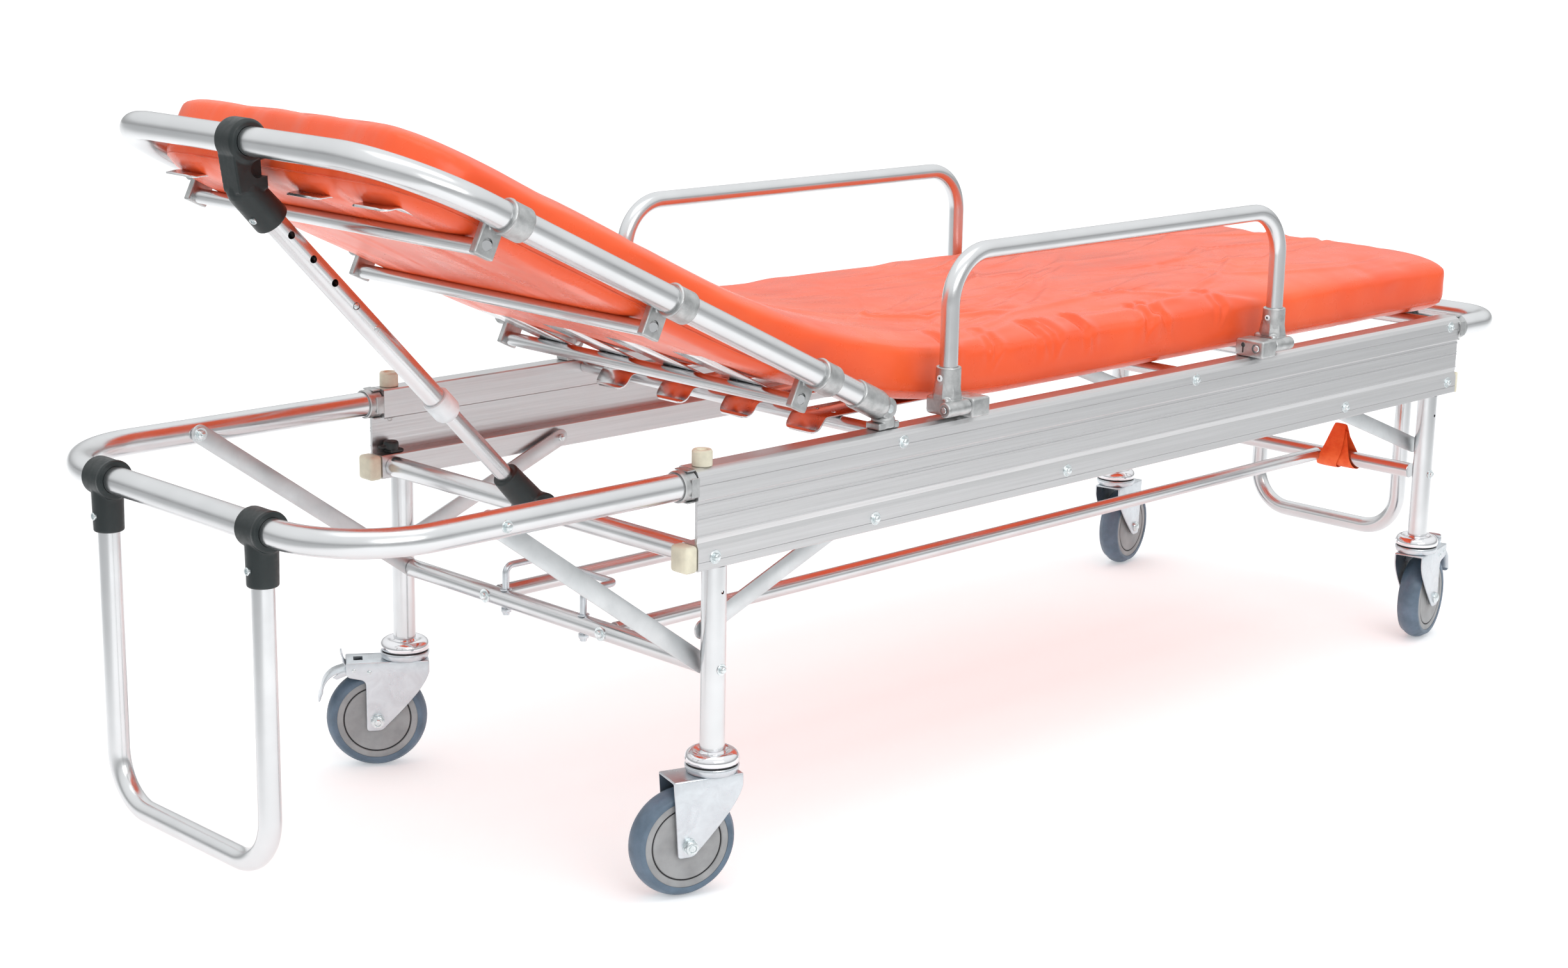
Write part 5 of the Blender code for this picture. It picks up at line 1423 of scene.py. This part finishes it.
def crumple(mesh):
    """Presses the creases, puckers and slow waves of a slack cover into the pad, along its normals."""
    spots, normals = vertex_rows(mesh, "co"), vertex_rows(mesh, "normal")
    x, y, z = spots.T
    upper = np.clip((z - 0.030) / 0.030, 0, 1)
    push = np.zeros(len(spots))

    def fold(distance, width, hollow, shift, spread):
        """A ridge's profile with the hollow that runs beside it."""
        return np.exp(-((distance / width) ** 2)) - hollow * np.exp(-(((distance - shift) / spread) ** 2))

    for cx, cy, heading, length, width, depth in creases():
        c, s = math.cos(heading), math.sin(heading)
        along = (x - cx) * c + (y - cy) * s
        bow = 0.16 * np.abs(along) ** 2 / max(length, 1e-6)
        across = -(x - cx) * s + (y - cy) * c - bow
        fade = np.exp(-((along / length) ** 4))
        push += depth * fade * fold(across, width, 0.75, width * 1.5, width * 1.1) * upper
    for i, cx in enumerate(SIDE_PUCKERS):
        lean = (x - cx) - (z - 0.055) * (0.35 if i % 2 else -0.25)
        width = 0.0028 + 0.12 * np.maximum(z - 0.045, 0)
        fade = np.clip((z - 0.030) / 0.035, 0, 1) * (y < -0.20)
        push -= 0.0030 * fold(lean, width, 0.5, 2 * width, 1.4 * width) * fade
    slow = np.sin(x * 9.1 + 1.0) * np.cos(y * 12.7 - 1.7) * 0.5
    slow += np.sin(x * 21.3 + y * 17.9 + 2.3) * 0.3 + np.sin(x * 5.0 - y * 31.0 + 1.0) * 0.2
    push += 0.0011 * slow
    ripple = np.sin(x * 61.0 + 3.0 * np.sin(z * 40.0)) * np.sin(x * 23.0 + 1.3)
    push += 0.0006 * ripple * (np.abs(normals[:, 2]) < 0.6)
    push *= np.clip((z + 0.002) / 0.010, 0.15, 1)
    moved = spots + normals * push[:, None]
    edge = np.clip((np.abs(y) - 0.09) / 0.15, 0, 1) ** 2
    moved[:, 2] -= np.where(y < 0, 0.0095, 0.0020) * edge * np.clip((z - 0.02) / 0.045, 0, 1)
    mesh.vertices.foreach_set("co", moved.ravel())


def make_mattress():
    """The bent pad in its cover, and the bead of its seam."""
    helper = helper_object(stuffed(flat_pad()))
    finer = helper.modifiers.new("finer", "SUBSURF")
    finer.levels = finer.render_levels = 1
    fine = evaluated(helper)
    crumple(fine)
    flat = helper_object(fine)
    surface = BVHTree.FromObject(flat, bpy.context.evaluated_depsgraph_get())
    line = seam_path(surface, 0.0085)
    bpy.data.objects.remove(flat, do_unlink=True)
    for vertex in fine.vertices:
        vertex.co = bend_pad(vertex.co)
    cover = piece("mattress_cover", fine, VINYL, None, ["mattress_seat", "mattress_back"], 180)
    blend_over_hinge(cover)
    seam = Shape().tube([bend_pad(p) for p in line], 0.0009, 8)
    blend_over_hinge(piece("mattress_seam", seam, VINYL_SEAM, None, (), 180))


def seam_path(surface, height):
    """A line round the pad at one height, on its surface."""
    outline = pad_outline(0.0)
    spots = []
    for i, p in enumerate(outline):
        ahead, behind = outline[(i + 1) % len(outline)], outline[i - 1]
        run = (ahead - behind).normalized()
        outward = Vector((run.y, -run.x, 0))
        start = Vector((p.x, p.y, height)) + outward * 0.04
        hit = surface.ray_cast(start, -outward, 0.10)[0]
        if hit is not None:
            spots.append(hit - outward * 0.0001)
    return spots + spots[:1]


def blend_over_hinge(obj):
    start, end = (HINGE_X + 0.140, MID, 0.520), (HINGE_X - 0.130, MID, 0.560)
    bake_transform(obj)
    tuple(start)
    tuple(end)


# ------------------------------------------------------------------ strap
def make_strap():
    """A spare strap pulled round the joint of the foot cross tube and the right floor rail."""
    strap = Shape()
    tie_band(strap, -0.143, 0.0245, 0.0138, 0.006, 0.026)
    tie_band(strap, -0.130, 0.0190, 0.0168, -0.008, 0.034)
    helper = helper_object(strap.mesh())
    smooth = helper.modifiers.new("soft", "SUBSURF")
    smooth.levels = smooth.render_levels = 1
    piece("spare_strap", evaluated(helper), WEBBING, "frame", ["tie_strap"], 60)


def tie_band(strap, y_mid, half, radius, slant, tall):
    """A flat band round the tube, drawn up into a narrow waist above it."""
    x, turns, thick = LEG_X["foot"], 34, 0.0009
    rings = []
    for i in range(turns):
        t = 2 * math.pi * i / turns
        lift = max(math.sin(t), 0.0) ** 3
        across = Vector((0, half * (1 - 0.45 * lift), 0))
        centre = Vector((
            x + math.cos(t) * radius * (1 - 0.35 * lift), y_mid + slant * math.sin(t),
            LOW_Z + math.sin(t) * radius + tall * lift,
        ))
        skin = Vector((math.cos(t), 0, math.sin(t))) * thick
        corners = (-across - skin, across - skin, across + skin, -across + skin)
        rings.append([centre + corner for corner in corners])
    strap._rings(rings, closed=True)


# ------------------------------------------------------------------ stage
CAMERA_SPOT = (-2.42199, -2.27262, 1.11291)
VIEW_HEADING = math.radians(45.12)
FLOOR_GLOW = 0.27


def make_stage():
    """A pale floor: white in the wedge before the camera, so that the backdrop is, and grey beside it."""
    floor = bpy.data.meshes.new("floor")
    bm = bmesh.new()
    bmesh.ops.create_grid(bm, x_segments=1, y_segments=1, size=40.0)
    bm.to_mesh(floor)
    bm.free()
    ground = bpy.data.objects.new("floor", floor)
    bpy.context.scene.collection.objects.link(ground)
    white, grey = (0.90, 0.905, 0.91), (0.56, 0.565, 0.57)
    look = Look("pale_floor", white, 0.0, 0.9)
    turn = Matrix.Rotation(-VIEW_HEADING, 3, "Z")
    away = -(turn @ Vector((*CAMERA_SPOT[:2], 0.0)))
    place = look.node("ShaderNodeMapping", Rotation=(0.0, 0.0, -VIEW_HEADING), Location=away)
    split = look.node("ShaderNodeSeparateXYZ")
    bearing = look.node("ShaderNodeMath", operation="ARCTAN2")
    size = look.node("ShaderNodeMath", operation="ABSOLUTE")
    look.link(look.space, place.inputs["Vector"])
    look.link(place.outputs["Vector"], split.inputs["Vector"])
    look.link(split.outputs["Y"], bearing.inputs[0])
    look.link(split.outputs["X"], bearing.inputs[1])
    look.link(bearing.outputs["Value"], size.inputs[0])
    look.spread(size.outputs["Value"], "Emission Strength", 0.37, 0.75, FLOOR_GLOW, 0.0, "SMOOTHSTEP")
    look.tint(size.outputs["Value"], (0.37, white), (0.60, grey))
    look.shader.inputs["Emission Color"].default_value = (1.0, 1.0, 1.0, 1.0)
    floor.materials.append(look.material)
    ground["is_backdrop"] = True


def make_sky():
    """Soft studio light: bright overhead, dimmer towards the horizon."""
    world = bpy.data.worlds.new("studio")
    bpy.context.scene.world = world
    world.use_nodes = True
    tree = world.node_tree
    tree.nodes.clear()
    kinds = ("TexCoord", "SeparateXYZ", "ValToRGB", "Background", "OutputWorld")
    spot, split, ramp, back, out = (tree.nodes.new(f"ShaderNode{kind}") for kind in kinds)
    tree.links.new(spot.outputs["Generated"], split.inputs["Vector"])
    tree.links.new(split.outputs["Z"], ramp.inputs["Fac"])
    tree.links.new(ramp.outputs["Color"], back.inputs["Color"])
    tree.links.new(back.outputs["Background"], out.inputs["Surface"])
    stops = ((0.0, 0.40), (0.10, 0.50), (0.30, 0.95), (0.70, 1.10))
    while len(ramp.color_ramp.elements) < len(stops):
        ramp.color_ramp.elements.new(0.5)
    for element, (at, level) in zip(ramp.color_ramp.elements, stops):
        element.position = at
        element.color = (level * 0.985, level * 0.995, level, 1.0)


def make_light(name, spot, aim, size, power, color=(1.0, 1.0, 1.0)):
    data = bpy.data.lights.new(name, "AREA")
    data.shape = "RECTANGLE"
    data.size, data.size_y = size
    data.energy = power
    data.color = color
    light = bpy.data.objects.new(name, data)
    light.location = spot
    light.rotation_euler = (Vector(aim) - Vector(spot)).to_track_quat("-Z", "Y").to_euler()
    bpy.context.scene.collection.objects.link(light)


def make_camera():
    data = bpy.data.cameras.new("view")
    data.lens, data.sensor_width = 59.58, 36.0
    camera = bpy.data.objects.new("view", data)
    right, up = Vector((0.71138, -0.70260, 0.01718)), Vector((0.15178, 0.17745, 0.97235))
    back = Vector((-0.68622, -0.68911, 0.23288))
    turn = Matrix((right, up, back)).transposed().to_4x4()
    camera.matrix_world = Matrix.Translation(CAMERA_SPOT) @ turn
    bpy.context.scene.collection.objects.link(camera)
    bpy.context.scene.camera = camera


make_camera()
for make in (
    make_rails, make_loops, make_legs, make_cross_tubes, make_braces, make_catch_hoop, make_ledge_knob,
    make_deck, make_hinges, make_back_tube, make_back_clamps, make_back_slats, make_strut, make_guards,
    make_supports,
):
    make()
for caster in YAW:
    make_caster(caster)
make_mattress()
make_strap()
make_stage()
make_sky()
TARGET = (0.0, 0.0, 0.4)
make_light("overhead", (-0.6, -0.8, 3.6), TARGET, (3.2, 1.6), 16.0)
make_light("near_side", (-1.2, -3.6, 2.2), TARGET, (2.6, 1.2), 30.0, (1.0, 0.995, 0.985))
bpy.context.scene.view_settings.view_transform = "Standard"

boxes = {"cad": CAD_BOX, "visual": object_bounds()}
{name: [list(map(float, corner)) for corner in box] for name, box in boxes.items()}
